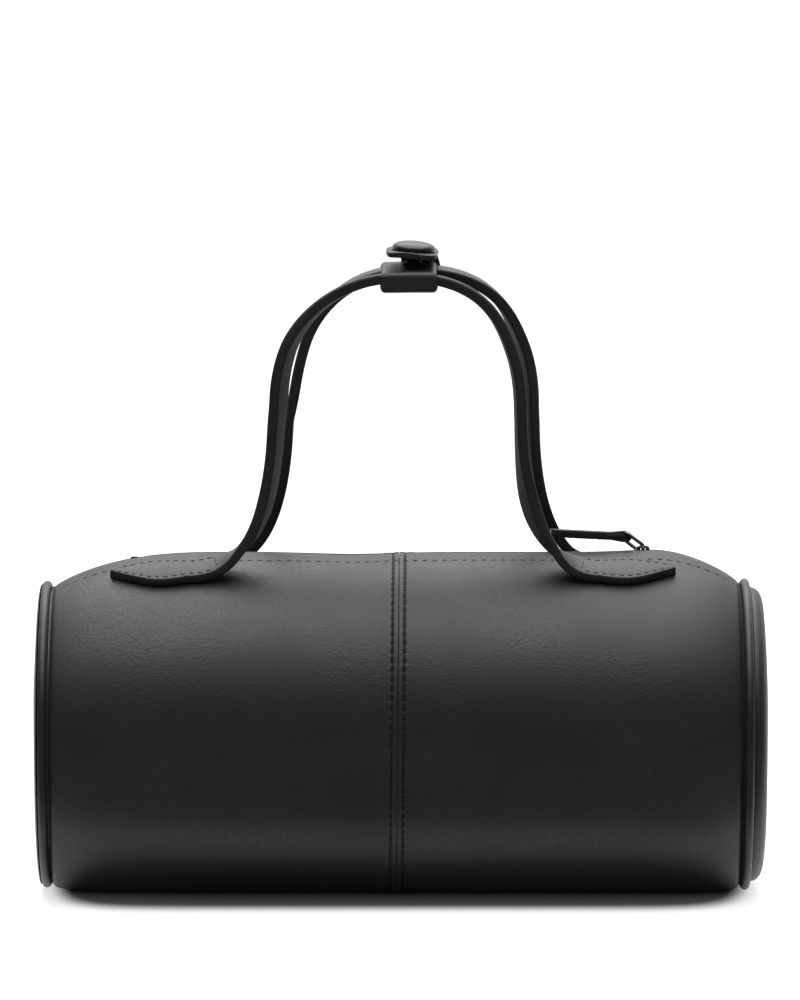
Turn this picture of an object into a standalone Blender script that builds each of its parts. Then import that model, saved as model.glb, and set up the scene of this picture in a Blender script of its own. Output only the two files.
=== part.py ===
"""Small leather barrel bag with two short top handles, a zip and a snapped keeper.

Metres, +Z up. The bag stands on z = 0, its length runs along X and its front faces -Y.
The leather is built in layers that all follow one outer skin, so every layer moves with it.
"""
import math

import bmesh
import bpy
from mathutils import Matrix, Vector

# Clearance left between pieces that touch
GAP = 0.0003

# Barrel: a round section that narrows over a shoulder to each stiff round end
BODY_HALF_LENGTH = 0.1203
BODY_RADIUS = 0.0598
BASE_PRESS = 0.0019
END_RADIUS = 0.0527
END_LIFT = 0.0003
LEFT_SHOULDER_LENGTH = 0.0603
LEFT_SHOULDER_POWER = 2.8
RIGHT_SHOULDER_LENGTH = 0.0323
RIGHT_SHOULDER_POWER = 2.0
SHOULDER_MARKS = (0.0, 0.06, 0.14, 0.24, 0.37, 0.53, 0.72, 1.0)
BODY_ARCS = 42
INNER_ARCS = 32

# Layers of the wall, from the outside in
LEATHER = 0.0014
SEAM_TAPE = 0.0005
STIFFENER = 0.0008
LINING = 0.0005
SEAM_TAPE_WIDTH = 0.016

# Round ends
PIPING_DIAMETER = 0.0032
PIPING_PROUD = 0.0009
END_DOME = 0.0029
END_BOARD = 0.0015
END_STEPS = 40

# Zip in the top of the barrel, rolled a little toward the back
ZIP_ROLL = math.radians(6.0)
WINDOW_HALF_WIDTH = 0.0055
ZIP_END_MARGIN = 0.0293
ZIP_SET_DEPTH = 0.0016
TAPE = 0.0006
TAPE_HALF_WIDTH = 0.0140
CORD_WIDTH = 0.0009
TOOTH_LENGTH = 0.00115
TOOTH_WIDTH = 0.0014
TOOTH_PITCH = 0.0028
TOOTH_THICKNESS = 0.0022
MIDDLE_SLOT = 0.0011
STOP_LENGTH = 0.0028
END_COVER_START = 0.0040

# Slider, its bridge, the metal link and the leather pull
SLIDER_LENGTH = 0.0110
SLIDER_HALF_WIDTH = 0.0044
SLIDER_TAIL_HALF_WIDTH = 0.0037
SLIDER_PLATE = 0.0010
SLIDER_WEB = 0.0005
BRIDGE_LENGTH = 0.0074
BRIDGE_THICKNESS = 0.0010
BRIDGE_WIDTH = 0.0022
LINK_WIRE = 0.0015
LINK_LENGTH = 0.0075
LINK_WIDTH = 0.0074
LINK_CORNER = 0.0012
LINK_ANGLE = math.radians(143.0)
PULL_LENGTH = 0.0265
PULL_THICKNESS = 0.0028
PULL_HALF_WIDTH = 0.0041
PULL_WALL = 0.00115
PULL_FLARE_START = 0.0030
PULL_FLARE_END = 0.0090
PULL_ANGLE = math.radians(177.2)

# Handles: one strap each, with a flare at both feet and a flat petal sewn to the barrel
STRAP_WIDTH = 0.0120
STRAP_THICKNESS = 0.0034
STRAP_CHAMFER = 0.0007
ARCH_TOP = 0.2148
ARCH_BASE = 0.1720
ARCH_HALF_SPAN = 0.0422
ARCH_POWER = 2.25
ARCH_STEPS = 9
FOOT_HALF_SPAN = 0.0720
FLARE_STEPS = 10
FLARE_UPPER_PULLS = (0.0320, 0.0500)
FLARE_LOWER_PULLS = (0.0270, 0.0110)
FLEX_SHARE = 0.42
STRAP_SPACING = 0.0140
FOOT_SPREAD = math.radians(28.7)
FRONT_HANDLE = {"side": 1, "foot": -0.0025, "arch": -0.0002}
FRONT_HANDLE |= {"twist": (13.0, 5.0), "lean": (0.0, 0.0), "skew": (0.0045, 0.0010)}
BACK_HANDLE = {"side": -1, "foot": 0.0025, "arch": 0.0034}
BACK_HANDLE |= {"twist": (1.0, 20.0), "lean": (0.0031, 0.0), "skew": (0.0, 0.0)}
TAB_LENGTH = 0.0255
TAB_HALF_WIDTH = 0.0069
TAB_TIP_HALF_WIDTH = 0.0006
TAB_THICKNESS = 0.0028
TAB_WIDEST = 0.42
TAB_TAPER = 1.4
TAB_STEPS = 9

# Keeper round both straps, with its flap and snap
KEEPER_LENGTH = 0.0202
KEEPER_CENTRE = 0.0031
KEEPER_WALL = 0.0013
KEEPER_SLACK = 0.0004
KEEPER_STEPS = 4
FLAP_THICKNESS = 0.0012
FLAP_CENTRE = 0.0040
FLAP_HALF_WIDTH = 0.0089
FLAP_REACH = 0.0120
FLAP_BEND = 0.0022
FLAP_CORNER = 0.0040
FLAP_TILT = math.radians(4.0)
SNAP_CENTRE = 0.0047
SNAP_STEPS = 24
CAP_RADIUS = 0.0076
CAP_HEIGHT = 0.0034
CAP_RIM = 0.0013
SOCKET_RADIUS = 0.0060
SOCKET_HEIGHT = 0.0018
STUD_FLANGE_RADIUS = 0.0054
STUD_FLANGE = 0.0006
STUD_RADIUS = 0.0028
STUD_HEIGHT = 0.0016
STUD_SLACK = 0.0006
RIVET_RADIUS = 0.0016

# Heights and places that follow from the sizes above
MID_CENTRE_Z = BODY_RADIUS - BASE_PRESS
END_CENTRE_Z = END_RADIUS + PIPING_PROUD + END_LIFT
TOP_Z = MID_CENTRE_Z + BODY_RADIUS
ZIP_HALF_LENGTH = BODY_HALF_LENGTH - ZIP_END_MARGIN
TAPE_DEPTH = LEATHER + GAP
STIFFENER_DEPTH = TAPE_DEPTH + TAPE + GAP
LINING_DEPTH = STIFFENER_DEPTH + STIFFENER + GAP + 0.0001
PIPING_X = BODY_HALF_LENGTH + GAP + PIPING_DIAMETER / 2
PIPING_RING = END_RADIUS + PIPING_PROUD - PIPING_DIAMETER / 2
RIM_X = PIPING_X + PIPING_DIAMETER / 2 + GAP
CHAIN_TOP = TOP_Z - ZIP_SET_DEPTH
CHAIN_MID = CHAIN_TOP - TOOTH_THICKNESS / 2
CHAIN_HALF_WIDTH = MIDDLE_SLOT / 2 + TOOTH_LENGTH + CORD_WIDTH
TAPE_START = CHAIN_HALF_WIDTH + GAP
SLIDER_X = ZIP_HALF_LENGTH - SLIDER_LENGTH / 2 - 2 * GAP
PLATE_TOP = CHAIN_TOP + GAP + SLIDER_PLATE
LINK_AXIS_Z = PLATE_TOP + GAP + LINK_WIRE / 2
KEEPER_INNER = STRAP_THICKNESS / 2 + GAP + KEEPER_SLACK
KEEPER_HALF_DEPTH = (STRAP_SPACING + STRAP_WIDTH) / 2 + GAP
FLAP_AXIS_Y = KEEPER_HALF_DEPTH + KEEPER_WALL + GAP + FLAP_THICKNESS / 2


def clear_scene():
    """Remove every object, so that the file holds only the bag."""
    for item in list(bpy.data.objects):
        bpy.data.objects.remove(item, do_unlink=True)


def finish_material(name, colour, roughness, metallic=0.0):
    """Make a plain Principled material."""
    material = bpy.data.materials.new(name)
    material.use_nodes = True
    shader = material.node_tree.nodes["Principled BSDF"]
    shader.inputs["Base Color"].default_value = (*colour, 1.0)
    shader.inputs["Roughness"].default_value = roughness
    shader.inputs["Metallic"].default_value = metallic
    return material


def add_object(name, mesh, material, smooth_degrees=35.0):
    """Link a mesh to the scene with its material and smooth shading."""
    mesh.materials.append(material)
    mesh.shade_smooth()
    mesh.set_sharp_from_angle(angle=math.radians(smooth_degrees))
    item = bpy.data.objects.new(name, mesh)
    bpy.context.scene.collection.objects.link(item)
    return item


def mesh_from(name, work):
    """Turn a bmesh into a mesh whose faces point outward."""
    bmesh.ops.recalc_face_normals(work, faces=work.faces)
    mesh = bpy.data.meshes.new(name)
    work.to_mesh(mesh)
    work.free()
    return mesh


def slab(name, outer, inner, material):
    """Close the space between two grids of points into one solid."""
    work = bmesh.new()
    tops = [[work.verts.new(point) for point in row] for row in outer]
    lows = [[work.verts.new(point) for point in row] for row in inner]
    rows, columns = len(outer), len(outer[0])
    for i in range(rows - 1):
        for j in range(columns - 1):
            work.faces.new((tops[i][j], tops[i + 1][j], tops[i + 1][j + 1], tops[i][j + 1]))
            work.faces.new((lows[i][j], lows[i][j + 1], lows[i + 1][j + 1], lows[i + 1][j]))
        for j in (0, columns - 1):
            work.faces.new((tops[i][j], lows[i][j], lows[i + 1][j], tops[i + 1][j]))
    for i in (0, rows - 1):
        for j in range(columns - 1):
            work.faces.new((tops[i][j], tops[i][j + 1], lows[i][j + 1], lows[i][j]))
    return add_object(name, mesh_from(name, work), material)


def loft(name, rings, material):
    """Join closed rings of equal length into one solid with a cap at both ends."""
    work = bmesh.new()
    loops = [[work.verts.new(point) for point in ring] for ring in rings]
    count = len(rings[0])
    for first, second in zip(loops, loops[1:]):
        for k in range(count):
            work.faces.new((first[k], first[(k + 1) % count], second[(k + 1) % count], second[k]))
    work.faces.new(loops[0])
    work.faces.new(loops[-1])
    return add_object(name, mesh_from(name, work), material)


def turned(name, profile, steps, material, closed=False):
    """Turn a profile of (radius, height) pairs about the local Z axis."""
    work = bmesh.new()
    loops = []
    for radius, height in profile:
        if radius == 0.0:
            loops.append([work.verts.new((0.0, 0.0, height))])
            continue
        angles = [2 * math.pi * k / steps for k in range(steps)]
        loops.append([work.verts.new((radius * math.cos(a), radius * math.sin(a), height)) for a in angles])
    pairs = list(zip(loops, loops[1:]))
    if closed:
        pairs.append((loops[-1], loops[0]))
    for first, second in pairs:
        for k in range(steps):
            corners = [first[k % len(first)], first[(k + 1) % len(first)]]
            corners += [second[(k + 1) % len(second)], second[k % len(second)]]
            work.faces.new(list(dict.fromkeys(corners)))
    return add_object(name, mesh_from(name, work), material)


def prism(name, outline, direction, material):
    """Extrude a flat outline along a direction."""
    work = bmesh.new()
    face = work.faces.new([work.verts.new(point) for point in outline])
    grown = bmesh.ops.extrude_face_region(work, geom=[face])
    moved = [item for item in grown["geom"] if isinstance(item, bmesh.types.BMVert)]
    bmesh.ops.translate(work, verts=moved, vec=direction)
    return add_object(name, mesh_from(name, work), material)


def combine(item, tool, operation):
    """Apply an exact Boolean to an object and remove the tool."""
    change = item.modifiers.new("combine", "BOOLEAN")
    change.operation = operation
    change.solver = "EXACT"
    change.object = tool
    bpy.context.view_layer.update()
    graph = bpy.context.evaluated_depsgraph_get()
    mesh = bpy.data.meshes.new_from_object(item.evaluated_get(graph))
    item.modifiers.clear()
    item.data = mesh
    bpy.data.objects.remove(tool, do_unlink=True)


def shoulder(x):
    """Return 0 in the straight middle of the barrel, rising to 1 at its ends.

    It runs straight between the marks, so that every layer bends at the same places.
    """
    length = LEFT_SHOULDER_LENGTH if x < 0 else RIGHT_SHOULDER_LENGTH
    power = LEFT_SHOULDER_POWER if x < 0 else RIGHT_SHOULDER_POWER
    inset = (BODY_HALF_LENGTH - abs(x)) / length
    for near, far in zip(SHOULDER_MARKS, SHOULDER_MARKS[1:]):
        if inset <= far:
            share = (inset - near) / (far - near)
            start, stop = (1.0 - near) ** power, (1.0 - far) ** power
            return start + (stop - start) * share
    return 0.0


def section(x):
    """Return the radius and the centre height of the barrel's round section."""
    share = shoulder(x)
    radius = BODY_RADIUS + (END_RADIUS - BODY_RADIUS) * share
    centre = MID_CENTRE_Z + (END_CENTRE_Z - MID_CENTRE_Z) * share
    return radius, centre


def skin(x, angle, depth):
    """Return a point below the skin; the angle runs from the top toward the front."""
    radius, centre = section(x)
    y = -(radius - depth) * math.sin(angle)
    z = centre + (radius - depth) * math.cos(angle)
    return Vector((x, y, max(z, depth)))


def stations(low, high, skip=1):
    """Return places along the barrel, closer together on its shoulders."""
    shares = SHOULDER_MARKS[::-skip]
    marks = [-BODY_HALF_LENGTH + LEFT_SHOULDER_LENGTH * mark for mark in reversed(shares)]
    marks += [BODY_HALF_LENGTH - RIGHT_SHOULDER_LENGTH * mark for mark in shares]
    spare = LEATHER
    return [low] + [x for x in marks if low + spare < x < high - spare] + [high]


def zip_angle(reach, radius):
    """Return the skin's angle at a distance from the zip's middle, positive toward the front."""
    return math.asin(reach / radius) - ZIP_ROLL


def rolled():
    """Return the turn about the barrel's axis that lays the zip toward the back."""
    axis = Matrix.Translation((0.0, 0.0, MID_CENTRE_Z))
    return axis @ Matrix.Rotation(-ZIP_ROLL, 4, "X") @ axis.inverted()


def wrap_angles(half_window, radius, arcs):
    """Return angles from one edge of the window to the other, with both edges of the flat base."""
    flat = math.acos(MID_CENTRE_Z / BODY_RADIUS)
    steps = arcs // 2 - 1
    start = zip_angle(half_window, radius)
    stop = zip_angle(-half_window, radius) + 2 * math.pi
    front = [start + (math.pi - flat - start) * k / steps for k in range(steps + 1)]
    back = [math.pi + flat + (stop - math.pi - flat) * k / steps for k in range(steps + 1)]
    return front + [math.pi] + back


def wrap(name, low, high, half_window, depth, thickness, material, arcs=BODY_ARCS, skip=1):
    """Wrap a sheet round the barrel from one edge of the zip window to the other."""
    outer, inner = [], []
    for x in stations(low, high, skip):
        angles = wrap_angles(half_window, section(x)[0], arcs)
        outer.append([skin(x, angle, depth) for angle in angles])
        inner.append([skin(x, angle, depth + thickness) for angle in angles])
    return slab(name, outer, inner, material)


def build_barrel(leather, cloth, board):
    """Make the two leather halves, the seam tape, the stiffener and the lining."""
    seam = GAP / 2
    wrap("body_panel_left", -BODY_HALF_LENGTH, -seam, WINDOW_HALF_WIDTH, 0.0, LEATHER, leather)
    wrap("body_panel_right", seam, BODY_HALF_LENGTH, WINDOW_HALF_WIDTH, 0.0, LEATHER, leather)
    clear = TAPE_HALF_WIDTH + GAP
    half_tape = SEAM_TAPE_WIDTH / 2
    wrap("center_seam_tape", -half_tape, half_tape, clear, TAPE_DEPTH, SEAM_TAPE, cloth, arcs=36)
    reach = BODY_HALF_LENGTH - GAP
    inner = {"arcs": INNER_ARCS, "skip": 2}
    wrap("body_stiffener", -reach, reach, clear, STIFFENER_DEPTH, STIFFENER, board, **inner)
    window = WINDOW_HALF_WIDTH + GAP
    wrap("lining_body", -reach, reach, window, LINING_DEPTH, LINING, cloth, **inner)


def place_end(item, side, x):
    """Set a piece that was turned about Z on the axis of one end, facing outward."""
    turn = Matrix.Rotation(math.radians(90.0 * side), 4, "Y")
    item.data.transform(Matrix.Translation((side * x, 0.0, END_CENTRE_Z)) @ turn)


def end_dome(mark):
    """Return how far an end bulges; 0 is its centre and 1 its rim."""
    return END_DOME * math.sqrt(1.0 - mark ** 2.5)


def build_ends(leather, piping, cloth, board):
    """Make the piping, the domed end, its board and the lining of both ends."""
    rim = END_RADIUS - GAP
    dome = [(rim * mark, end_dome(mark)) for mark in (0.0, 0.5, 0.8, 0.95, 1.0)]
    inner_rim = rim - LEATHER
    under = [(inner_rim * mark, end_dome(mark) - LEATHER) for mark in (0.0, 0.7)]
    under.append((inner_rim, 0.0))
    board_radius = PIPING_RING - PIPING_DIAMETER / 2 - GAP
    cloth_radius = END_RADIUS - LINING_DEPTH - LINING - GAP
    bead = [math.radians(45.0 * k) for k in range(8)]
    half = PIPING_DIAMETER / 2
    for word, side in (("left", -1), ("right", 1)):
        panel = turned(f"end_panel_{word}", dome + under[::-1], END_STEPS, leather)
        place_end(panel, side, RIM_X)
        ring = [(PIPING_RING + half * math.cos(a), half * math.sin(a)) for a in bead]
        place_end(turned(f"piping_{word}", ring, END_STEPS, piping, closed=True), side, PIPING_X)
        disc = [(0.0, 0.0), (board_radius, 0.0), (board_radius, END_BOARD), (0.0, END_BOARD)]
        board_x = BODY_HALF_LENGTH + GAP
        place_end(turned(f"end_board_{word}", disc, END_STEPS, board), side, board_x)
        sheet = [(0.0, 0.0), (cloth_radius, 0.0), (cloth_radius, LINING), (0.0, LINING)]
        cloth_x = BODY_HALF_LENGTH - LINING
        place_end(turned(f"lining_end_{word}", sheet, END_STEPS, cloth), side, cloth_x)


def zip_tape(name, side, material):
    """Make one woven tape: level beside the teeth, then sloping under the leather."""
    reach = ZIP_HALF_LENGTH + GAP + STOP_LENGTH
    level_end = SLIDER_HALF_WIDTH + GAP
    under_edge = WINDOW_HALF_WIDTH - GAP
    outer, inner = [], []
    for x in stations(-reach, reach):
        top = CHAIN_MID + TAPE / 2
        row = [rolled() @ Vector((x, side * y, top)) for y in (TAPE_START, level_end)]
        low = [rolled() @ Vector((x, side * y, top - TAPE)) for y in (TAPE_START, level_end)]
        for reach_out in (under_edge, TAPE_HALF_WIDTH):
            angle = zip_angle(-side * reach_out, section(x)[0])
            row.append(skin(x, angle, TAPE_DEPTH))
            low.append(skin(x, angle, TAPE_DEPTH + TAPE))
        outer.append(row)
        inner.append(low)
    return slab(name, outer, inner, material)


def zip_teeth(name, side, shift, material):
    """Make one row of teeth, which grow from the cord along the edge of its tape."""
    root = MIDDLE_SLOT / 2 + TOOTH_LENGTH
    outline = [(-ZIP_HALF_LENGTH, CHAIN_HALF_WIDTH), (-ZIP_HALF_LENGTH, root)]
    count = int((2 * ZIP_HALF_LENGTH - TOOTH_PITCH) / TOOTH_PITCH)
    for k in range(count):
        x = -ZIP_HALF_LENGTH + TOOTH_PITCH * (k + shift)
        shrink = TOOTH_WIDTH * 0.18
        outline += [(x, root), (x + shrink, MIDDLE_SLOT / 2)]
        outline += [(x + TOOTH_WIDTH - shrink, MIDDLE_SLOT / 2), (x + TOOTH_WIDTH, root)]
    outline += [(ZIP_HALF_LENGTH, root), (ZIP_HALF_LENGTH, CHAIN_HALF_WIDTH)]
    bottom = CHAIN_TOP - TOOTH_THICKNESS
    points = [(x, side * y, bottom) for x, y in outline]
    teeth = prism(name, points, (0.0, 0.0, TOOTH_THICKNESS), material)
    teeth.data.transform(rolled())


def block(name, low, high, material):
    """Make a plain rectangular clamp between two corners, in line with the zip."""
    outline = [(low[0], low[1], low[2]), (high[0], low[1], low[2])]
    outline += [(high[0], high[1], low[2]), (low[0], high[1], low[2])]
    clamp = prism(name, outline, (0.0, 0.0, high[2] - low[2]), material)
    clamp.data.transform(rolled())


def build_zip(cloth, metal, leather):
    """Make the tapes, the teeth, the stops and the leather covers of the zip's ends."""
    zip_tape("zip_tape_front", -1, cloth)
    zip_tape("zip_tape_back", 1, cloth)
    zip_teeth("zip_teeth_front", -1, 0.2, metal)
    zip_teeth("zip_teeth_back", 1, 0.7, metal)
    start = ZIP_HALF_LENGTH + GAP
    bottom = CHAIN_TOP - TOOTH_THICKNESS
    far = start + STOP_LENGTH
    block("zip_bottom_stop", (-far, -CHAIN_HALF_WIDTH, bottom), (-start, CHAIN_HALF_WIDTH, CHAIN_TOP), metal)
    for word, side in (("front", -1), ("back", 1)):
        inner_y, outer_y = side * MIDDLE_SLOT / 2, side * CHAIN_HALF_WIDTH
        low = (start, min(inner_y, outer_y), bottom)
        high = (far, max(inner_y, outer_y), CHAIN_TOP)
        block(f"zip_top_stop_{word}", low, high, metal)
    cover_start = ZIP_HALF_LENGTH + END_COVER_START
    half = WINDOW_HALF_WIDTH - GAP
    for word, low, high in (("left", -BODY_HALF_LENGTH, -cover_start), ("right", cover_start, BODY_HALF_LENGTH)):
        outer, inner = [], []
        for x in stations(low, high):
            angles = [zip_angle(reach, section(x)[0]) for reach in (half, 0.0, -half)]
            outer.append([skin(x, angle, 0.0) for angle in angles])
            inner.append([skin(x, angle, LEATHER) for angle in angles])
        slab(f"zip_end_cover_{word}", outer, inner, leather)


def build_slider(metal):
    """Make the slider: two plates with lips on a web, cut to a shield, with a bridge."""
    lip_start = TAPE_START
    tape_top = CHAIN_MID + TAPE / 2
    upper = CHAIN_TOP + GAP
    lower = CHAIN_TOP - TOOTH_THICKNESS - GAP
    half_web = SLIDER_WEB / 2
    wide = SLIDER_HALF_WIDTH
    side = [(wide, PLATE_TOP), (wide, tape_top + GAP), (lip_start, tape_top + GAP), (lip_start, upper)]
    side += [(half_web, upper), (half_web, lower), (lip_start, lower)]
    side += [(lip_start, tape_top - TAPE - GAP), (wide, tape_top - TAPE - GAP), (wide, lower - SLIDER_PLATE)]
    outline = side + [(-y, z) for y, z in reversed(side)]
    start = SLIDER_X - SLIDER_LENGTH / 2
    slider = prism("zip_slider", [(start, y, z) for y, z in outline], (SLIDER_LENGTH, 0.0, 0.0), metal)
    corner = SLIDER_LENGTH * 0.16
    end = start + SLIDER_LENGTH
    plan = [(start, SLIDER_TAIL_HALF_WIDTH - corner), (start + corner, SLIDER_TAIL_HALF_WIDTH)]
    plan += [(end - 2 * corner, 2 * wide), (end - corner / 2, wide), (end, wide - corner / 2)]
    plan += [(x, -y) for x, y in reversed(plan)]
    floor = lower - 2 * SLIDER_PLATE
    height = PLATE_TOP - floor + SLIDER_PLATE
    shield = prism("shield", [(x, y, floor) for x, y in plan], (0.0, 0.0, height), metal)
    combine(slider, shield, "INTERSECT")
    arch_top = LINK_AXIS_Z + LINK_WIRE / 2 + GAP
    half = BRIDGE_LENGTH / 2
    inner_half = half - BRIDGE_THICKNESS
    sunk = PLATE_TOP - SLIDER_PLATE / 2
    arch = [(-half, sunk), (-half, PLATE_TOP), (-half * 0.5, arch_top + BRIDGE_THICKNESS)]
    arch += [(half * 0.5, arch_top + BRIDGE_THICKNESS), (half, PLATE_TOP), (half, sunk)]
    arch += [(inner_half, sunk), (inner_half, PLATE_TOP), (half * 0.4, arch_top)]
    arch += [(-half * 0.4, arch_top), (-inner_half, PLATE_TOP), (-inner_half, sunk)]
    points = [(SLIDER_X + x, -BRIDGE_WIDTH / 2, z) for x, z in arch]
    combine(slider, prism("bridge", points, (0.0, BRIDGE_WIDTH, 0.0), metal), "UNION")
    slider.data.transform(rolled())


def link_end():
    """Return the centre of the link's far bar, which the leather pull turns on."""
    x = SLIDER_X + LINK_LENGTH * math.cos(LINK_ANGLE)
    z = LINK_AXIS_Z + LINK_LENGTH * math.sin(LINK_ANGLE)
    return Vector((x, 0.0, z))


def build_link(metal):
    """Make the metal link: a wire bent into a rounded rectangle through the bridge."""
    along = Vector((math.cos(LINK_ANGLE), 0.0, math.sin(LINK_ANGLE)))
    base = Vector((SLIDER_X, 0.0, LINK_AXIS_Z))
    half = (LINK_WIDTH / 2) - LINK_CORNER
    centres = [(LINK_LENGTH - LINK_CORNER, half, 0.0), (LINK_CORNER, half, 90.0)]
    centres += [(LINK_CORNER, -half, 180.0), (LINK_LENGTH - LINK_CORNER, -half, 270.0)]
    points = []
    for run, y, first in centres:
        for k in range(4):
            angle = math.radians(first + 30.0 * k)
            step = along * (run + LINK_CORNER * math.cos(angle))
            points.append(base + step + Vector((0.0, y + LINK_CORNER * math.sin(angle), 0.0)))
    curve = bpy.data.curves.new("zip_pull_link", "CURVE")
    curve.dimensions = "3D"
    curve.bevel_depth = LINK_WIRE / 2
    curve.bevel_resolution = 1
    wire = curve.splines.new("POLY")
    wire.points.add(len(points) - 1)
    for slot, point in zip(wire.points, points):
        slot.co = (*point, 1.0)
    wire.use_cyclic_u = True
    curve.transform(rolled())
    curve.materials.append(metal)
    item = bpy.data.objects.new("zip_pull_link", curve)
    bpy.context.scene.collection.objects.link(item)


def build_pull(leather):
    """Make the leather pull: a doubled strip folded round the link's far bar."""
    pivot = link_end()
    along = Vector((math.cos(PULL_ANGLE), 0.0, math.sin(PULL_ANGLE)))
    lift = Vector((math.sin(PULL_ANGLE), 0.0, -math.cos(PULL_ANGLE)))
    narrow = LINK_WIDTH / 2 - LINK_WIRE / 2 - GAP
    corner = PULL_HALF_WIDTH * 0.5
    runs = [(0.0, narrow), (PULL_FLARE_START, narrow), (PULL_FLARE_END, PULL_HALF_WIDTH)]
    runs += [(PULL_LENGTH - corner, PULL_HALF_WIDTH), (PULL_LENGTH - corner * 0.3, PULL_HALF_WIDTH * 0.8)]
    runs += [(PULL_LENGTH, PULL_HALF_WIDTH * 0.5)]
    outer, inner = [], []
    for run, half in runs:
        ends = [pivot + along * run + Vector((0.0, y, 0.0)) for y in (-half, half)]
        outer.append([point + lift * PULL_THICKNESS / 2 for point in ends])
        inner.append([point - lift * PULL_THICKNESS / 2 for point in ends])
    pull = slab("zip_pull_tab", outer, inner, leather)
    bore = LINK_WIRE / 2 + GAP
    stand = Matrix.Translation(pivot) @ Matrix.Rotation(math.radians(90.0), 4, "X")
    for radius, half, operation in ((bore + PULL_WALL, narrow, "UNION"), (bore, PULL_HALF_WIDTH, "DIFFERENCE")):
        profile = [(0.0, -half), (radius, -half), (radius, half), (0.0, half)]
        tool = turned("eye", profile, 16, leather)
        tool.data.transform(stand)
        combine(pull, tool, operation)
    pull.data.transform(rolled())


def foot_angle(side):
    """Return the skin's angle at a handle's feet; both stand equally far from the zip."""
    return side * FOOT_SPREAD - ZIP_ROLL


def foot_point(x, side):
    """Return where a strap's centre lies on the barrel at its foot."""
    return skin(x, foot_angle(side), -(GAP + TAB_THICKNESS / 2))


def arch_point(share):
    """Return (distance from the middle, height) on the arch; 0 is its base, 1 its top."""
    angle = share * math.pi / 2
    bend = 2.0 / ARCH_POWER
    out = ARCH_HALF_SPAN * max(0.0, math.cos(angle)) ** bend
    return out, ARCH_BASE + (ARCH_TOP - ARCH_BASE) * math.sin(angle) ** bend


def flare_point(share, end, foot_z):
    """Return (distance from the middle, height) on the flare; 0 is the arch, 1 the foot."""
    leg = 0 if end < 0 else 1
    lead = (ARCH_HALF_SPAN, ARCH_BASE)
    pulls = (ARCH_HALF_SPAN, ARCH_BASE - FLARE_UPPER_PULLS[leg])
    tail = (FOOT_HALF_SPAN - FLARE_LOWER_PULLS[leg], foot_z)
    foot = (FOOT_HALF_SPAN, foot_z)
    rest = 1.0 - share
    weights = (rest ** 3, 3 * rest ** 2 * share, 3 * rest * share ** 2, share ** 3)
    knots = (lead, pulls, tail, foot)
    out = sum(weight * knot[0] for weight, knot in zip(weights, knots))
    return out, sum(weight * knot[1] for weight, knot in zip(weights, knots))


def strap_frame(handle, end, out, z):
    """Return the strap's centre and its width direction at one place on a leg."""
    side = handle["side"]
    foot_x = handle["foot"] + end * FOOT_HALF_SPAN
    foot = foot_point(foot_x, side)
    rise = min(1.0, max(0.0, (z - foot.z) / (ARCH_TOP - foot.z)))
    lower = min(1.0, max(0.0, (z - foot.z) / (ARCH_BASE - foot.z)))
    middle = handle["foot"] + (handle["arch"] - handle["foot"]) * lower
    y = foot.y + (-side * STRAP_SPACING / 2 - foot.y) * rise
    twist = math.radians(handle["twist"][0 if end < 0 else 1]) * math.sin(math.pi * rise)
    lean = handle["lean"][0 if end < 0 else 1] * math.sin(math.pi * max(0.0, 2.0 * rise - 1.0))
    slope = foot_angle(side)
    flat = Vector((0.0, math.cos(slope), math.sin(slope)))
    upright = Vector((-end * math.sin(twist), math.cos(twist), 0.0))
    settle = min(1.0, rise / 0.12)
    width = flat.lerp(upright, settle * settle * (3.0 - 2.0 * settle)).normalized()
    return Vector((middle + end * (out - lean), y, z)), width


def strap_path(handle):
    """Return the frames of one strap from flex line to flex line, over the arch."""
    half = []
    for end in (-1, 1):
        foot_z = foot_point(handle["foot"] + end * FOOT_HALF_SPAN, handle["side"]).z
        legs = [FLEX_SHARE * (1.0 - k / (FLARE_STEPS / 2)) for k in range(FLARE_STEPS // 2)]
        leg = [strap_frame(handle, end, *flare_point(share, end, foot_z)) for share in legs]
        arch = [strap_frame(handle, end, *arch_point(k / ARCH_STEPS)) for k in range(ARCH_STEPS)]
        half.append(leg + arch)
    top = strap_frame(handle, 1, 0.0, ARCH_TOP)
    return half[0] + [top] + half[1][::-1]


def strap_rings(path, thickness):
    """Return chamfered rectangular rings square to a path of (centre, width) frames."""
    rings = []
    for k, (centre, width) in enumerate(path):
        before = path[max(0, k - 1)][0]
        after = path[min(len(path) - 1, k + 1)][0]
        along = (after - before).normalized()
        across = (width - along * width.dot(along)).normalized()
        out = along.cross(across)
        half_w, half_t = STRAP_WIDTH / 2, thickness / 2
        near_w, near_t = half_w - STRAP_CHAMFER, half_t - STRAP_CHAMFER
        corners = [(near_w, half_t), (half_w, near_t), (half_w, -near_t), (near_w, -half_t)]
        corners += [(-near_w, -half_t), (-half_w, -near_t), (-half_w, near_t), (-near_w, half_t)]
        rings.append([centre + across * w + out * t for w, t in corners])
    return rings


def tab_half_width(share):
    """Return half the petal's width; 0 is its neck and 1 its pointed tip."""
    if share < TAB_WIDEST:
        swell = math.sin(math.pi / 2 * share / TAB_WIDEST)
        return STRAP_WIDTH / 2 + (TAB_HALF_WIDTH - STRAP_WIDTH / 2) * swell
    taper = ((share - TAB_WIDEST) / (1.0 - TAB_WIDEST)) ** TAB_TAPER
    return TAB_TIP_HALF_WIDTH + (TAB_HALF_WIDTH - TAB_TIP_HALF_WIDTH) * (1.0 - taper)


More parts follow.
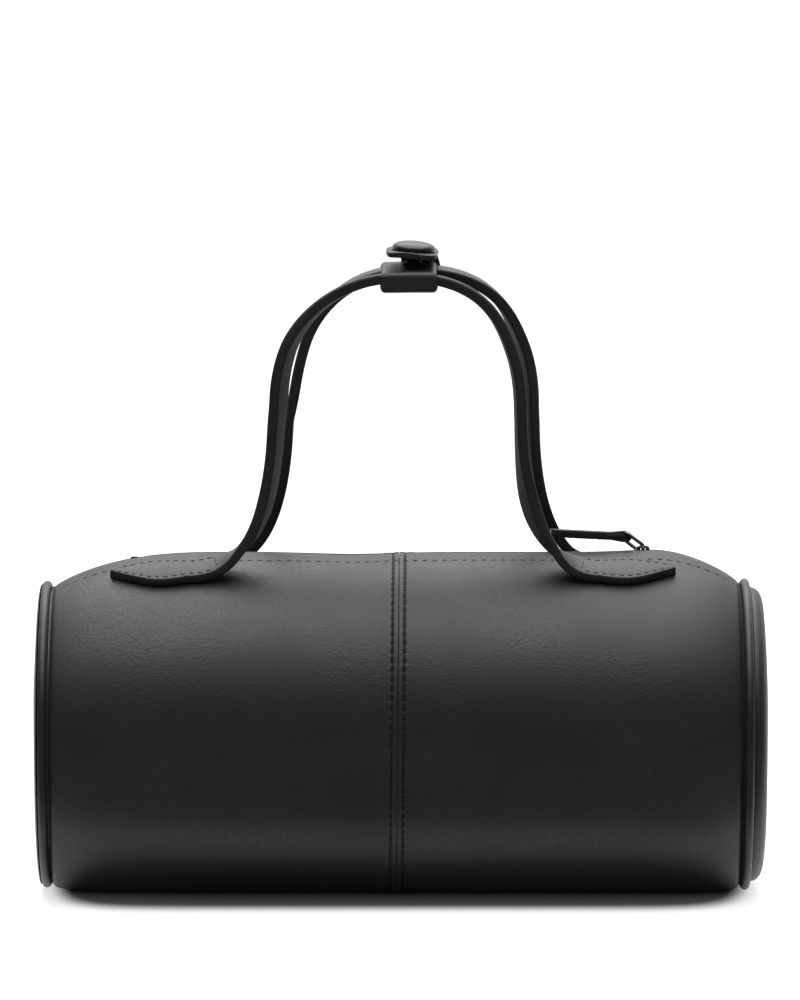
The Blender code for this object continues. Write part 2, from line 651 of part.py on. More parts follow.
def build_tab(name, handle, end, leather):
    """Make one sewn petal with the soft stretch of strap that rises from it."""
    side = handle["side"]
    skew = handle["skew"][0 if end < 0 else 1]
    neck = handle["foot"] + end * FOOT_HALF_SPAN
    spread = (1.0, 0.5, 0.0, -0.5, -1.0)
    outer, inner = [], []
    for k in range(TAB_STEPS, -1, -1):
        share = k / TAB_STEPS
        x = neck + end * TAB_LENGTH * share
        reach = tab_half_width(share) / section(x)[0]
        middle = foot_angle(side) - side * skew * share ** 2 / section(x)[0]
        angles = [middle + reach * part for part in spread]
        outer.append([skin(x, angle, -(GAP + TAB_THICKNESS)) for angle in angles])
        inner.append([skin(x, angle, -GAP) for angle in angles])
    foot_z = foot_point(neck, side).z
    stop = FLEX_SHARE + 2 * GAP / (ARCH_BASE - foot_z)
    steps = FLARE_STEPS // 2
    path = [strap_frame(handle, end, *flare_point(1.0, end, foot_z))]
    for k in range(1, steps + 1):
        share = 1.0 + (stop - 1.0) * k / steps
        path.append(strap_frame(handle, end, *flare_point(share, end, foot_z)))
    for k in range(1, len(path)):
        centre, width = path[k]
        before = path[k - 1][0]
        after = path[min(len(path) - 1, k + 1)][0]
        along = (after - before).normalized() * -end
        across = (width - along * width.dot(along)).normalized()
        out = along.cross(across)
        half_t = (TAB_THICKNESS + (STRAP_THICKNESS - TAB_THICKNESS) * k / (len(path) - 1)) / 2
        points = [centre - across * part * STRAP_WIDTH / 2 for part in spread]
        outer.append([point + out * half_t for point in points])
        inner.append([point - out * half_t for point in points])
    return slab(name, outer, inner, leather)


def build_handles(leather):
    """Make both straps and their four sewn petals."""
    for word, handle in (("front", FRONT_HANDLE), ("back", BACK_HANDLE)):
        rings = strap_rings(strap_path(handle), STRAP_THICKNESS)
        loft(f"handle_{word}_strap", rings, leather)
        for place, end in (("left", -1), ("right", 1)):
            build_tab(f"handle_{word}_tab_{place}", handle, end, leather)


def arch_height(x, middle):
    """Return the height of a strap's centre line over the top of its arch."""
    share = min(1.0, abs(x - middle) / ARCH_HALF_SPAN)
    fall = (1.0 - share ** ARCH_POWER) ** (1.0 / ARCH_POWER)
    return ARCH_BASE + (ARCH_TOP - ARCH_BASE) * fall


def keeper_height(x):
    """Return the height midway between both straps, which the keeper follows."""
    front = arch_height(x, FRONT_HANDLE["arch"])
    return (front + arch_height(x, BACK_HANDLE["arch"])) / 2


def keeper_ring(x, half_depth, half_height, cut):
    """Return one rectangular ring with its corners cut, for the keeper's tube."""
    z = keeper_height(x)
    corners = [(half_depth - cut, half_height), (half_depth, half_height - cut)]
    corners += [(half_depth, cut - half_height), (half_depth - cut, -half_height)]
    corners += [(cut - half_depth, -half_height), (-half_depth, cut - half_height)]
    corners += [(-half_depth, half_height - cut), (cut - half_depth, half_height)]
    return [Vector((x, y, z + dz)) for y, dz in corners]


def build_keeper(leather):
    """Make the leather band that holds both straps, with the hole for the stud."""
    rows = []
    for k in range(KEEPER_STEPS + 1):
        x = KEEPER_CENTRE + KEEPER_LENGTH * (k / KEEPER_STEPS - 0.5)
        outer = keeper_ring(x, KEEPER_HALF_DEPTH + KEEPER_WALL, KEEPER_INNER + KEEPER_WALL, KEEPER_WALL)
        inner = keeper_ring(x, KEEPER_HALF_DEPTH, KEEPER_INNER, GAP)
        rows.append((outer, inner))
    work = bmesh.new()
    shells = [[[work.verts.new(p) for p in ring] for ring in pair] for pair in rows]
    count = len(rows[0][0])
    for first, second in zip(shells, shells[1:]):
        for layer in (0, 1):
            for k in range(count):
                n = (k + 1) % count
                work.faces.new((first[layer][k], first[layer][n], second[layer][n], second[layer][k]))
    for outer, inner in (shells[0], shells[-1]):
        for k in range(count):
            n = (k + 1) % count
            work.faces.new((outer[k], outer[n], inner[n], inner[k]))
    keeper = add_object("keeper_band", mesh_from("keeper_band", work), leather)
    hole = RIVET_RADIUS + GAP
    top = keeper_height(SNAP_CENTRE) + KEEPER_INNER
    cutter = turned("hole", [(0.0, 0.0), (hole, 0.0), (hole, 4 * KEEPER_WALL), (0.0, 4 * KEEPER_WALL)], 12, leather)
    cutter.data.transform(Matrix.Translation((SNAP_CENTRE, 0.0, top - KEEPER_WALL)))
    combine(keeper, cutter, "DIFFERENCE")


def snap_heights():
    """Return the heights of the keeper's top, the flap's underside and the flap's top."""
    keeper_top = keeper_height(SNAP_CENTRE) + KEEPER_INNER + KEEPER_WALL
    tilt_room = SOCKET_RADIUS * math.sin(FLAP_TILT)
    stack = STUD_FLANGE + GAP + SOCKET_HEIGHT + GAP + tilt_room
    under = keeper_top + GAP + stack
    return keeper_top, under, under + FLAP_THICKNESS


def tilted():
    """Return the small roll of the flap and its snap about the snap's centre."""
    middle = Vector((SNAP_CENTRE, 0.0, snap_heights()[1]))
    roll = Matrix.Rotation(FLAP_TILT, 4, "Y")
    return Matrix.Translation(middle) @ roll @ Matrix.Translation(-middle)


def build_flap(leather):
    """Make the flap: up from the keeper's back edge, bent forward over its top."""
    keeper_top, under, over = snap_heights()
    middle_z = (under + over) / 2
    axis_z = keeper_top - FLAP_THICKNESS
    path = [(FLAP_AXIS_Y, axis_z)]
    bend_z = middle_z - FLAP_BEND
    for k in range(5):
        angle = math.radians(22.5 * k)
        y = FLAP_AXIS_Y - FLAP_BEND + FLAP_BEND * math.cos(angle)
        path.append((y, bend_z + FLAP_BEND * math.sin(angle)))
    tip_y = -FLAP_REACH
    for share in (0.25, 0.5, 0.75, 0.94, 1.0):
        rest = FLAP_CORNER * (1.0 - share) / 0.25
        path.append((tip_y + FLAP_CORNER if share < 0.5 else tip_y + rest, middle_z))
    path = sorted(set(path), key=lambda place: (-place[0], place[1]))
    outer, inner = [], []
    for k, (y, z) in enumerate(path):
        before, after = path[max(0, k - 1)], path[min(len(path) - 1, k + 1)]
        along = Vector((0.0, after[0] - before[0], after[1] - before[1])).normalized()
        out = Vector((0.0, along.z, -along.y)) * FLAP_THICKNESS / 2
        near = max(0.0, tip_y + FLAP_CORNER - y)
        half = FLAP_HALF_WIDTH - FLAP_CORNER + math.sqrt(max(0.0, FLAP_CORNER ** 2 - near ** 2))
        row = [Vector((FLAP_CENTRE + x, y, z)) for x in (-half, half)]
        outer.append([point + out for point in row])
        inner.append([point - out for point in row])
    flap = slab("keeper_flap", outer, inner, leather)
    hole = RIVET_RADIUS + GAP
    profile = [(0.0, -FLAP_THICKNESS), (hole, -FLAP_THICKNESS), (hole, FLAP_THICKNESS), (0.0, FLAP_THICKNESS)]
    cutter = turned("hole", profile, 12, leather)
    cutter.data.transform(Matrix.Translation((SNAP_CENTRE, 0.0, middle_z)))
    combine(flap, cutter, "DIFFERENCE")
    flap.data.transform(tilted())


def build_snap(metal):
    """Make the snap: cap and socket on the flap, stud on the keeper."""
    keeper_top, under, over = snap_heights()
    base = over + GAP
    shank = -(FLAP_THICKNESS + GAP)
    dome = CAP_HEIGHT - CAP_RIM
    cap = [(0.0, shank), (RIVET_RADIUS, shank), (RIVET_RADIUS, 0.0), (CAP_RADIUS * 0.96, 0.0)]
    cap += [(CAP_RADIUS, CAP_RIM * 0.25), (CAP_RADIUS, CAP_RIM)]
    cap += [(CAP_RADIUS * share, CAP_RIM + dome * math.sqrt(1.0 - share ** 2)) for share in (0.9, 0.68, 0.38)]
    cap += [(0.0, CAP_HEIGHT)]
    item = turned("snap_cap", cap, SNAP_STEPS, metal)
    item.data.transform(tilted() @ Matrix.Translation((SNAP_CENTRE, 0.0, base)))
    mouth = STUD_RADIUS + STUD_SLACK
    depth = STUD_HEIGHT - STUD_FLANGE + GAP
    floor = under - GAP - SOCKET_HEIGHT
    socket = [(0.0, SOCKET_HEIGHT), (SOCKET_RADIUS, SOCKET_HEIGHT), (SOCKET_RADIUS, SOCKET_HEIGHT * 0.4)]
    socket += [(SOCKET_RADIUS * 0.85, 0.0), (mouth, 0.0), (mouth, depth), (0.0, depth)]
    item = turned("snap_socket", socket, SNAP_STEPS, metal)
    item.data.transform(tilted() @ Matrix.Translation((SNAP_CENTRE, 0.0, floor)))
    rivet = -(KEEPER_WALL + GAP)
    stud = [(0.0, rivet), (RIVET_RADIUS, rivet), (RIVET_RADIUS, 0.0), (STUD_FLANGE_RADIUS, 0.0)]
    stud += [(STUD_FLANGE_RADIUS, STUD_FLANGE), (STUD_RADIUS * 0.8, STUD_FLANGE)]
    stud += [(STUD_RADIUS, (STUD_FLANGE + STUD_HEIGHT) / 2), (STUD_RADIUS * 0.8, STUD_HEIGHT), (0.0, STUD_HEIGHT)]
    item = turned("snap_stud", stud, SNAP_STEPS, metal)
    item.data.transform(Matrix.Translation((SNAP_CENTRE, 0.0, keeper_top + GAP)))


def main():
    """Build every piece of the bag."""
    clear_scene()
    leather = finish_material("black_leather", (0.022, 0.023, 0.024), 0.46)
    edge = finish_material("piping_leather", (0.018, 0.018, 0.019), 0.42)
    cloth = finish_material("black_cloth", (0.012, 0.012, 0.013), 0.85)
    board = finish_material("grey_board", (0.18, 0.17, 0.15), 0.9)
    metal = finish_material("dark_nickel", (0.34, 0.34, 0.35), 0.28, 1.0)
    enamel = finish_material("black_enamel", (0.02, 0.02, 0.021), 0.35)
    build_barrel(leather, cloth, board)
    build_ends(leather, edge, cloth, board)
    build_zip(cloth, metal, leather)
    build_slider(metal)
    build_link(metal)
    build_pull(leather)
    build_handles(leather)
    build_keeper(leather)
    build_flap(leather)
    build_snap(enamel)


main()
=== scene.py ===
"""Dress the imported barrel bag: leather, stitching, zip, keeper and a plain studio.

Metres, +Z up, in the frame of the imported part. Every piece lies where the solid that it stands for lies.
"""

import math

import bmesh
import bpy
import numpy as np
from bpy.props import FloatProperty, FloatVectorProperty, PointerProperty
from bpy.types import Operator, Panel, PropertyGroup
from mathutils import Matrix, Vector


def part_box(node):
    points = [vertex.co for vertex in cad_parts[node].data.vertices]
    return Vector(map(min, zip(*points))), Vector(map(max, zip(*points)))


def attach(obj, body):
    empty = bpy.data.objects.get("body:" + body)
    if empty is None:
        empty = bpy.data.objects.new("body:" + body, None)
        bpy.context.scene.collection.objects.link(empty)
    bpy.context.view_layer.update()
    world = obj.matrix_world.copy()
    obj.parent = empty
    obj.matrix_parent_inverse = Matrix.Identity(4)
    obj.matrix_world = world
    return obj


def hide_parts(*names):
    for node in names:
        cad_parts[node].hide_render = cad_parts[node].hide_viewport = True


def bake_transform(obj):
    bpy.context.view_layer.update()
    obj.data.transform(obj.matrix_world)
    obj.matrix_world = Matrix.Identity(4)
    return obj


bl_info = {
    "name": "Barrel Bag Workshop",
    "version": (1, 0, 0),
    "blender": (4, 5, 0),
    "location": "View3D > Sidebar > Barrel Bag",
    "description": "Dresses a small leather barrel bag over its packed frame",
    "category": "Object",
}

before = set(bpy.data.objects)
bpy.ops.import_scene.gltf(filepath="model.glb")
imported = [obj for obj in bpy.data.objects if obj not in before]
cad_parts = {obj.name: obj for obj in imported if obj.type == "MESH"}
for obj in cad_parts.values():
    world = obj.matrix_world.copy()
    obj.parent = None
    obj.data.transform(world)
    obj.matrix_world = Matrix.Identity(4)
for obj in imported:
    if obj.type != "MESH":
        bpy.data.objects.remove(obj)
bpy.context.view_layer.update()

# Clearance that the frame keeps between touching pieces
GAP = 0.0003

# Barrel: a round section that narrows over a shoulder to each round end
BODY_HALF_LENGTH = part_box("body_panel_right")[1].x
BODY_RADIUS = 0.0598
BASE_PRESS = 0.0019
BASE_SOFTNESS = 0.0008
END_RADIUS = 0.0527
END_LIFT = 0.0003
LEFT_SHOULDER_LENGTH = 0.0603
LEFT_SHOULDER_POWER = 2.8
RIGHT_SHOULDER_LENGTH = 0.0323
RIGHT_SHOULDER_POWER = 2.0
LEATHER = 0.0014
WINDOW_HALF_WIDTH = 0.0055
LINING_DEPTH = 0.0038
LINING = 0.0005
SEAM_TAPE = 0.0005
SEAM_TAPE_WIDTH = 0.0160

# Stuffed leather: its dip between the handles, lip behind the slider, sag below, tucked ends, thick seams
DIP_X = -0.0165
DIP_LENGTH = 0.0200
DIP_SPREAD = 0.55
LIP_HEIGHT = 0.0009
LIP_X = 0.0885
LIP_LENGTH = 0.0140
LIP_ANGLE = 0.16
LIP_SPREAD = 0.15
SAG_DEPTH = 0.0015
SAG_START = 0.085
SAG_END = 0.113
SAG_SPREAD = 0.75
TUCK_RADIUS = 0.0020
TUCK_DEPTH = 0.0007
TUCK_REACH = 0.0035
MOST_RELIEF = 0.9 * LEATHER
SEAM_RIDGE = 0.00020
SEAM_PLY = 0.00016
WINDOW_PLY = 0.00014
END_WAVE = 0.00022

# Round ends: the shift outward, the dome's fullness and the rim's inset of the left (-1) and the right one
SIDES = (("left", -1), ("right", 1))
END_SHIFT = {-1: 0.0010, 1: -0.0019}
END_FULLNESS = {-1: 2.8, 1: 16.0}
END_INSET = {-1: 0.0, 1: 0.0010}
PIPING_LOW, PIPING_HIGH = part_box("piping_right")
PIPING_DIAMETER = PIPING_HIGH.x - PIPING_LOW.x
PIPING_X = (PIPING_LOW.x + PIPING_HIGH.x) / 2
PIPING_PROUD = 0.0009
PIPING_RING = END_RADIUS + PIPING_PROUD - PIPING_DIAMETER / 2
END_CENTRE_Z = END_RADIUS + PIPING_PROUD + END_LIFT
RIM_X = PIPING_HIGH.x + GAP
END_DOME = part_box("end_panel_right")[1].x - RIM_X
MID_CENTRE_Z = BODY_RADIUS - BASE_PRESS

# Seams and topstitching of the barrel
SEAM_TOP_X = -0.0003
SEAM_DRIFT = 0.0011
SEAM_PART = 0.00006
SEAM_STITCH_INSET = 0.0021
SEAM_STITCH_END = math.radians(163.0)
ZIP_STITCH_ANGLE = math.radians(16.5)
ZIP_STITCH_START = 0.1170
STITCH_SHARE = 0.80
STITCH_SLANT = 0.08

# Zip chain and its slider, rolled a little toward the back
ZIP_SIDES = (("front", -1), ("back", 1))
ZIP_ROLL = math.radians(6.0)
ZIP_TURN = Matrix.Translation((0.0, 0.0, MID_CENTRE_Z)) @ Matrix.Rotation(-ZIP_ROLL, 4, "X")
ZIP_TURN = ZIP_TURN @ Matrix.Translation((0.0, 0.0, -MID_CENTRE_Z))
ZIP_SET_DEPTH = 0.0016
ZIP_HALF_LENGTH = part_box("zip_teeth_front")[1].x
CHAIN_TOP = MID_CENTRE_Z + BODY_RADIUS - ZIP_SET_DEPTH
TOOTH_THICKNESS = 0.0022
CHAIN_MID = CHAIN_TOP - TOOTH_THICKNESS / 2
CHAIN_HALF_WIDTH = 0.0026
STOP_LENGTH = 0.0028
TAPE = 0.0006
TAPE_HALF_WIDTH = 0.0140
TAPE_DEPTH = LEATHER + GAP
TOOTH_PITCH = 0.0028
TOOTH_WIDTH = 0.0014
COVER_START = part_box("zip_end_cover_right")[0].x
SLIDER_LOW, SLIDER_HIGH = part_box("zip_slider")
SLIDER_X = (SLIDER_LOW.x + SLIDER_HIGH.x) / 2
SLIDER_LENGTH = SLIDER_HIGH.x - SLIDER_LOW.x
SLIDER_HALF_WIDTH = 0.0044
SLIDER_PLATE = 0.0010
PLATE_TOP = CHAIN_TOP + GAP + SLIDER_PLATE
BRIDGE_HALF_LENGTH = 0.0017
BRIDGE_THICKNESS = 0.0007
BRIDGE_WIDTH = 0.0028
LINK_WIRE = 0.0015
LINK_LENGTH = 0.0075
LINK_WIDTH = 0.0074
LINK_CORNER = 0.0012
LINK_ROLL = math.radians(25.0)
LINK_ANGLE = math.radians(143.0)
LINK_AXIS_Z = PLATE_TOP + GAP + LINK_WIRE / 2
PULL_LENGTH = 0.0265
PULL_PLY = 0.0014
PULL_LOOP_PLY = 0.0010
PULL_HALF_WIDTH = 0.0041
PULL_NECK = LINK_WIDTH / 2 - LINK_WIRE / 2 - GAP
PULL_ANGLE = math.radians(177.2)
LOOP_STEPS = 19

# Handles: one strap each, with a petal sewn to the barrel at both feet
STRAP_WIDTH = 0.0120
STRAP_THICKNESS = 0.0036
ARCH_TOP = 0.2148
ARCH_BASE = 0.1720
ARCH_HALF_SPAN = 0.0422
ARCH_POWER = 2.25
FOOT_HALF_SPAN = 0.0720
FLARE_UPPER_PULLS = (0.0320, 0.0500)
FLARE_LOWER_PULLS = (0.0270, 0.0110)
CREST_SHIFT = 0.0020
STRAP_SPACING = 0.0140
FOOT_SPREAD = math.radians(28.7)
# Of each handle: its side, the shift of its feet and arch, the power that places its twist, its twists and
# roll in degrees, the raise of its top, the lean of its legs and the skew of its petals
FRONT_HANDLE = {"side": 1, "foot": (-0.0025, -0.0025), "arch": -0.0002, "peak": 1.5}
FRONT_HANDLE |= {"twist": (17.0, 5.0), "low_twist": (8.0, 18.0), "roll": (5.0, 4.5)}
FRONT_HANDLE |= {"raise": 0.0, "lean": (0.0008, 0.0009), "skew": (0.0045, 0.0010)}
BACK_HANDLE = {"side": -1, "foot": (0.0025, 0.0005), "arch": 0.0034, "peak": 1.0}
BACK_HANDLE |= {"twist": (1.0, 20.0), "low_twist": (0.0, 0.0), "roll": (0.0, -2.0)}
BACK_HANDLE |= {"raise": 0.0010, "lean": (0.0033, 0.0008), "skew": (0.0, 0.0)}
TAB_LENGTH = 0.0255
TAB_HALF_WIDTH = 0.0069
TAB_TIP_HALF_WIDTH = 0.0006
TAB_THICKNESS = 0.0031
TAB_WIDEST = 0.36
TAB_TAPER = 1.7
SEWN_FROM = 0.0635

# Keeper, flap and snap
KEEPER_LENGTH = 0.0202
KEEPER_CENTRE = 0.0031
KEEPER_WALL = 0.0013
KEEPER_CORNER = 0.15
KEEPER_LEVEL = 0.2137
KEEPER_RISE = 0.0011
KEEPER_INNER = STRAP_THICKNESS / 2 + GAP + 0.0004
KEEPER_SQUEEZE = 0.0009
KEEPER_SINK = 0.0008
KEEPER_HALF_DEPTH = (STRAP_SPACING + STRAP_WIDTH) / 2 + GAP
FLAP_THICKNESS = 0.0012
FLAP_CENTRE = 0.0040
FLAP_HALF_WIDTH = 0.0089
FLAP_NARROW = 0.0026
FLAP_ASIDE = 0.0012
FLAP_LINING = 0.0007
FLAP_REACH = 0.0120
FLAP_BEND = 0.0022
FLAP_CORNER = 0.0040
FLAP_TILT = math.radians(4.0)
FLAP_TILT_REACH = 0.0060
FLAP_AXIS_Y = KEEPER_HALF_DEPTH + KEEPER_WALL + GAP + FLAP_THICKNESS / 2
SNAP_CENTRE = 0.0047
CAP_RADIUS = 0.0076
CAP_HEIGHT = 0.0034
CAP_RIM = 0.0013
SOCKET_RADIUS = 0.0050
SOCKET_HEIGHT = 0.0018
STUD_FLANGE_RADIUS = 0.0040
STUD_FLANGE = 0.0006
STUD_RADIUS = 0.0028
STUD_HEIGHT = 0.0016
RIVET_RADIUS = 0.0016
NEAR_AXIS = 0.00004
SNAP_SLIT = 0.00006

# Studio: the softbox, and the patch of floor under the bag that keeps its shadow; round it the floor glows,
# painted light, so the patch's soft edge is a painted shadow
SOFTBOX_WIDTH = 1.6
SOFTBOX_HEIGHT = 2.58
SOFTBOX_PLACE = (0.0, 0.56, 1.4)
SHADOW_HALF_LENGTH = 0.121
SHADOW_HALF_DEPTH = 0.050
FLOOR_REACH = 2.2

# Rounded strip of leather: (inset from the edge, share of half the thickness) from its middle to its edge.
# The marks are the numbers of the place that is sewn and of the first painted one.
STRIP_QUADRANT = (
    (None, 1.05), (0.0032, 1.04), (0.0023, 1.01), (0.0020, 0.98), (0.0017, 0.94), (0.0014, 0.97),
    (0.0011, 1.0), (0.0006, 0.98), (0.00032, 0.88), (0.0001, 0.62), (0.0, 0.25), (0.00006, 0.0),
)
STRIP_NARROW = 0.0045
GROOVE_MARK = 4
PAINT_MARK = 8


class LeatherSettings(PropertyGroup):
    """Colours and grain of the leather."""
    colour: FloatVectorProperty(
        name="Body colour", description="Colour of the barrel's leather",
        subtype="COLOR", size=3, min=0.0, max=1.0, default=(0.0185, 0.0191, 0.0200))
    strap_colour: FloatVectorProperty(
        name="Strap colour", description="Colour of the handles, the keeper and the pull",
        subtype="COLOR", size=3, min=0.0, max=1.0, default=(0.0190, 0.0196, 0.0205))
    edge_colour: FloatVectorProperty(
        name="Edge paint", description="Colour of the painted edges of the straps",
        subtype="COLOR", size=3, min=0.0, max=1.0, default=(0.0150, 0.0152, 0.0156))
    piping_colour: FloatVectorProperty(
        name="Piping colour", description="Colour of the thin leather over the cord",
        subtype="COLOR", size=3, min=0.0, max=1.0, default=(0.0170, 0.0173, 0.0180))
    pebble: FloatProperty(
        name="Pebble size", description="Width of one pebble of the grain",
        subtype="DISTANCE", unit="LENGTH", min=0.0003, max=0.003, default=0.00105)
    grain: FloatProperty(
        name="Grain depth", description="Depth of the grain between two pebbles",
        subtype="DISTANCE", unit="LENGTH", min=0.0, max=0.0003, default=0.00006)
    roughness: FloatProperty(
        name="Roughness", description="Roughness of the finished leather",
        subtype="FACTOR", min=0.0, max=1.0, default=0.46)


class BarrelSettings(PropertyGroup):
    """Forms of the stuffed barrel."""
    edge_roll: FloatProperty(
        name="Edge roll", description="Radius of the turned edges at the seam",
        subtype="DISTANCE", unit="LENGTH", min=0.0001, max=0.0013, default=0.0006)
    furrow: FloatProperty(
        name="Stitch furrow", description="Depth that the stitching pulls the leather down",
        subtype="DISTANCE", unit="LENGTH", min=0.0, max=0.001, default=0.00030)
    unevenness: FloatProperty(
        name="Unevenness", description="Height of the slow waves of the stuffed leather",
        subtype="DISTANCE", unit="LENGTH", min=0.0, max=0.002, default=0.00022)
    saddle: FloatProperty(
        name="Top dip", description="How far the top sags between the handles",
        subtype="DISTANCE", unit="LENGTH", min=0.0, max=0.002, default=0.00080)


class StitchSettings(PropertyGroup):
    """Sizes and colour of the sewing thread."""
    pitch: FloatProperty(
        name="Stitch pitch", description="Length of one stitch of the barrel's seams",
        subtype="DISTANCE", unit="LENGTH", min=0.001, max=0.01, default=0.0034)
    petal_pitch: FloatProperty(
        name="Petal pitch", description="Length of one stitch round the handles' petals",
        subtype="DISTANCE", unit="LENGTH", min=0.001, max=0.01, default=0.0030)
    thread: FloatProperty(
        name="Thread width", description="Width of the sewing thread",
        subtype="DISTANCE", unit="LENGTH", min=0.0001, max=0.001, default=0.00052)
    colour: FloatVectorProperty(
        name="Thread colour", description="Colour of the waxed thread",
        subtype="COLOR", size=3, min=0.0, max=1.0, default=(0.0110, 0.0112, 0.0116))


class MetalSettings(PropertyGroup):
    """Colours of the zip and the snap."""
    zip_colour: FloatVectorProperty(
        name="Zip metal", description="Colour of the slider, the link and the teeth",
        subtype="COLOR", size=3, min=0.0, max=1.0, default=(0.26, 0.255, 0.25))
    cap_colour: FloatVectorProperty(
        name="Snap enamel", description="Colour of the snap's enamelled cap",
        subtype="COLOR", size=3, min=0.0, max=1.0, default=(0.0150, 0.0153, 0.0160))
    zip_roughness: FloatProperty(
        name="Zip roughness", description="Roughness of the zip's metal",
        subtype="FACTOR", min=0.0, max=1.0, default=0.24)


class ClothSettings(PropertyGroup):
    """Colours and weave of the tapes and the lining."""
    tape_colour: FloatVectorProperty(
        name="Tape colour", description="Colour of the woven tapes",
        subtype="COLOR", size=3, min=0.0, max=1.0, default=(0.0090, 0.0090, 0.0095))
    lining_colour: FloatVectorProperty(
        name="Lining colour", description="Colour of the twill lining",
        subtype="COLOR", size=3, min=0.0, max=1.0, default=(0.0150, 0.0150, 0.0160))
    weave: FloatProperty(
        name="Weave size", description="Distance between two threads of the weave",
        subtype="DISTANCE", unit="LENGTH", min=0.0002, max=0.002, default=0.00055)


class StudioSettings(PropertyGroup):
    """Camera, softbox, fill and floor."""
    elevation: FloatProperty(
        name="Camera elevation", description="Height of the camera above the horizon",
        subtype="ANGLE", unit="ROTATION", default=math.radians(7.0))
    distance: FloatProperty(
        name="Camera distance", description="Distance from the camera to the bag",
        subtype="DISTANCE", unit="LENGTH", min=0.5, max=10.0, default=2.9)
    view_height: FloatProperty(
        name="View height", description="Height of the picture at the bag",
        subtype="DISTANCE", unit="LENGTH", min=0.1, max=2.0, default=0.3484)
    aim: FloatProperty(
        name="Aim height", description="Height that the camera looks at",
        subtype="DISTANCE", unit="LENGTH", default=0.1363)
    softbox: FloatProperty(
        name="Softbox", description="Brightness of the softbox above the bag",
        min=0.0, max=50.0, default=2.7)
    fill: FloatProperty(
        name="Fill", description="Brightness of the room for the light on the bag",
        min=0.0, max=2.0, default=0.28)
    floor_colour: FloatVectorProperty(
        name="Floor colour", description="Colour of the plain pale floor",
        subtype="COLOR", size=3, min=0.0, max=1.0, default=(0.62, 0.62, 0.62))


class BagSettings(PropertyGroup):
    """All the sizes and colours of the dressed bag."""
    leather: PointerProperty(name="Leather", description="Leather colours and grain", type=LeatherSettings)
    barrel: PointerProperty(name="Barrel", description="Forms of the barrel", type=BarrelSettings)
    stitch: PointerProperty(name="Stitching", description="Sewing thread", type=StitchSettings)
    metal: PointerProperty(name="Metal", description="Zip and snap colours", type=MetalSettings)
    cloth: PointerProperty(name="Cloth", description="Tapes and lining", type=ClothSettings)
    studio: PointerProperty(name="Studio", description="Camera and light", type=StudioSettings)


def bag():
    """Return the settings of the bag in this scene."""
    return bpy.context.scene.barrel_bag


# Meshes

def smooth(value, start, end):
    """Return 0 before start, 1 after end and an even curve between them."""
    share = np.clip((np.asarray(value, float) - start) / (end - start), 0.0, 1.0)
    return share * share * (3.0 - 2.0 * share)


def bell(value, width):
    """Return 1 where the value is 0, falling to nothing over about two widths."""
    return np.exp(-(np.asarray(value, float) / width) ** 2)


def unit(vectors):
    """Scale vectors to length 1."""
    return vectors / np.maximum(np.linalg.norm(vectors, axis=-1, keepdims=True), 1e-12)


def full_turn(count):
    """Return evenly spread angles of a full turn."""
    return np.linspace(0.0, 2 * math.pi, count, endpoint=False)


def moved(points, matrix):
    """Return points moved by a matrix."""
    matrix = np.array(matrix)
    return points @ matrix[:3, :3].T + matrix[:3, 3]


def spread(x, y, z):
    """Return points from three coordinates that are spread to one shape."""
    return np.stack(np.broadcast_arrays(x, y, z), axis=-1)


def quads(index):
    """Return the corners of the quads of a grid of vertex numbers."""
    corners = (index[:-1, :-1], index[1:, :-1], index[1:, 1:], index[:-1, 1:])
    return np.stack(corners, axis=-1).reshape(-1, 4)


def layer(outer, inner):
    """Return the closed sheet between two grids of points."""
    rows, columns = outer.shape[:2]
    top = np.arange(rows * columns).reshape(rows, columns)
    low = top + rows * columns
    faces = [quads(top), quads(low)[:, ::-1]]
    rims = ((top[0], low[0]), (low[-1], top[-1]), (low[:, 0], top[:, 0]), (top[:, -1], low[:, -1]))
    for line, under in rims:
        faces.append(np.stack((line[:-1], line[1:], under[1:], under[:-1]), axis=-1))
    vertices = np.concatenate((outer.reshape(-1, 3), inner.reshape(-1, 3)))
    return vertices, np.concatenate(faces).tolist(), 0


def hose(rings, closed=False, marks=0):
    """Return the tube through rings of points, capped unless it closes on itself."""
    rows, count = rings.shape[:2]
    index = np.arange(rows * count).reshape(rows, count)
    around = np.concatenate((index, index[:, :1]), axis=1)
    if closed:
        around = np.concatenate((around, around[:1]))
    faces = quads(around).tolist()
    if not closed:
        faces += [index[0].tolist(), index[-1].tolist()]
    if not isinstance(marks, int):
        marks = list(np.tile(marks, len(around) - 1)) + [0] * (0 if closed else 2)
    return rings.reshape(-1, 3), faces, marks


def directions(path, across, closed):
    """Return the width and outward directions along a path; across is roughly its width direction."""
    if closed:
        along = unit(np.roll(path, -1, axis=0) - np.roll(path, 1, axis=0))
    else:
        along = unit(np.gradient(path, axis=0))
    across = np.broadcast_to(np.asarray(across, float), path.shape)
    across = unit(across - along * np.sum(across * along, axis=1, keepdims=True))
    return across, np.cross(along, across)


def swept(path, across, half_width, half_thick, power, sides, closed=False):
    """Sweep a rounded section along a path; across is the direction of its width."""
    across, out = directions(path, across, closed)
    turn = full_turn(sides)
    wide = np.sign(np.cos(turn)) * np.abs(np.cos(turn)) ** power
    tall = np.sign(np.sin(turn)) * np.abs(np.sin(turn)) ** power
    width = np.broadcast_to(half_width, len(path))[:, None, None] * wide[None, :, None]
    height = np.broadcast_to(half_thick, len(path))[:, None, None] * tall[None, :, None]
    rings = path[:, None, :] + across[:, None, :] * width + out[:, None, :] * height
    return hose(rings, closed)


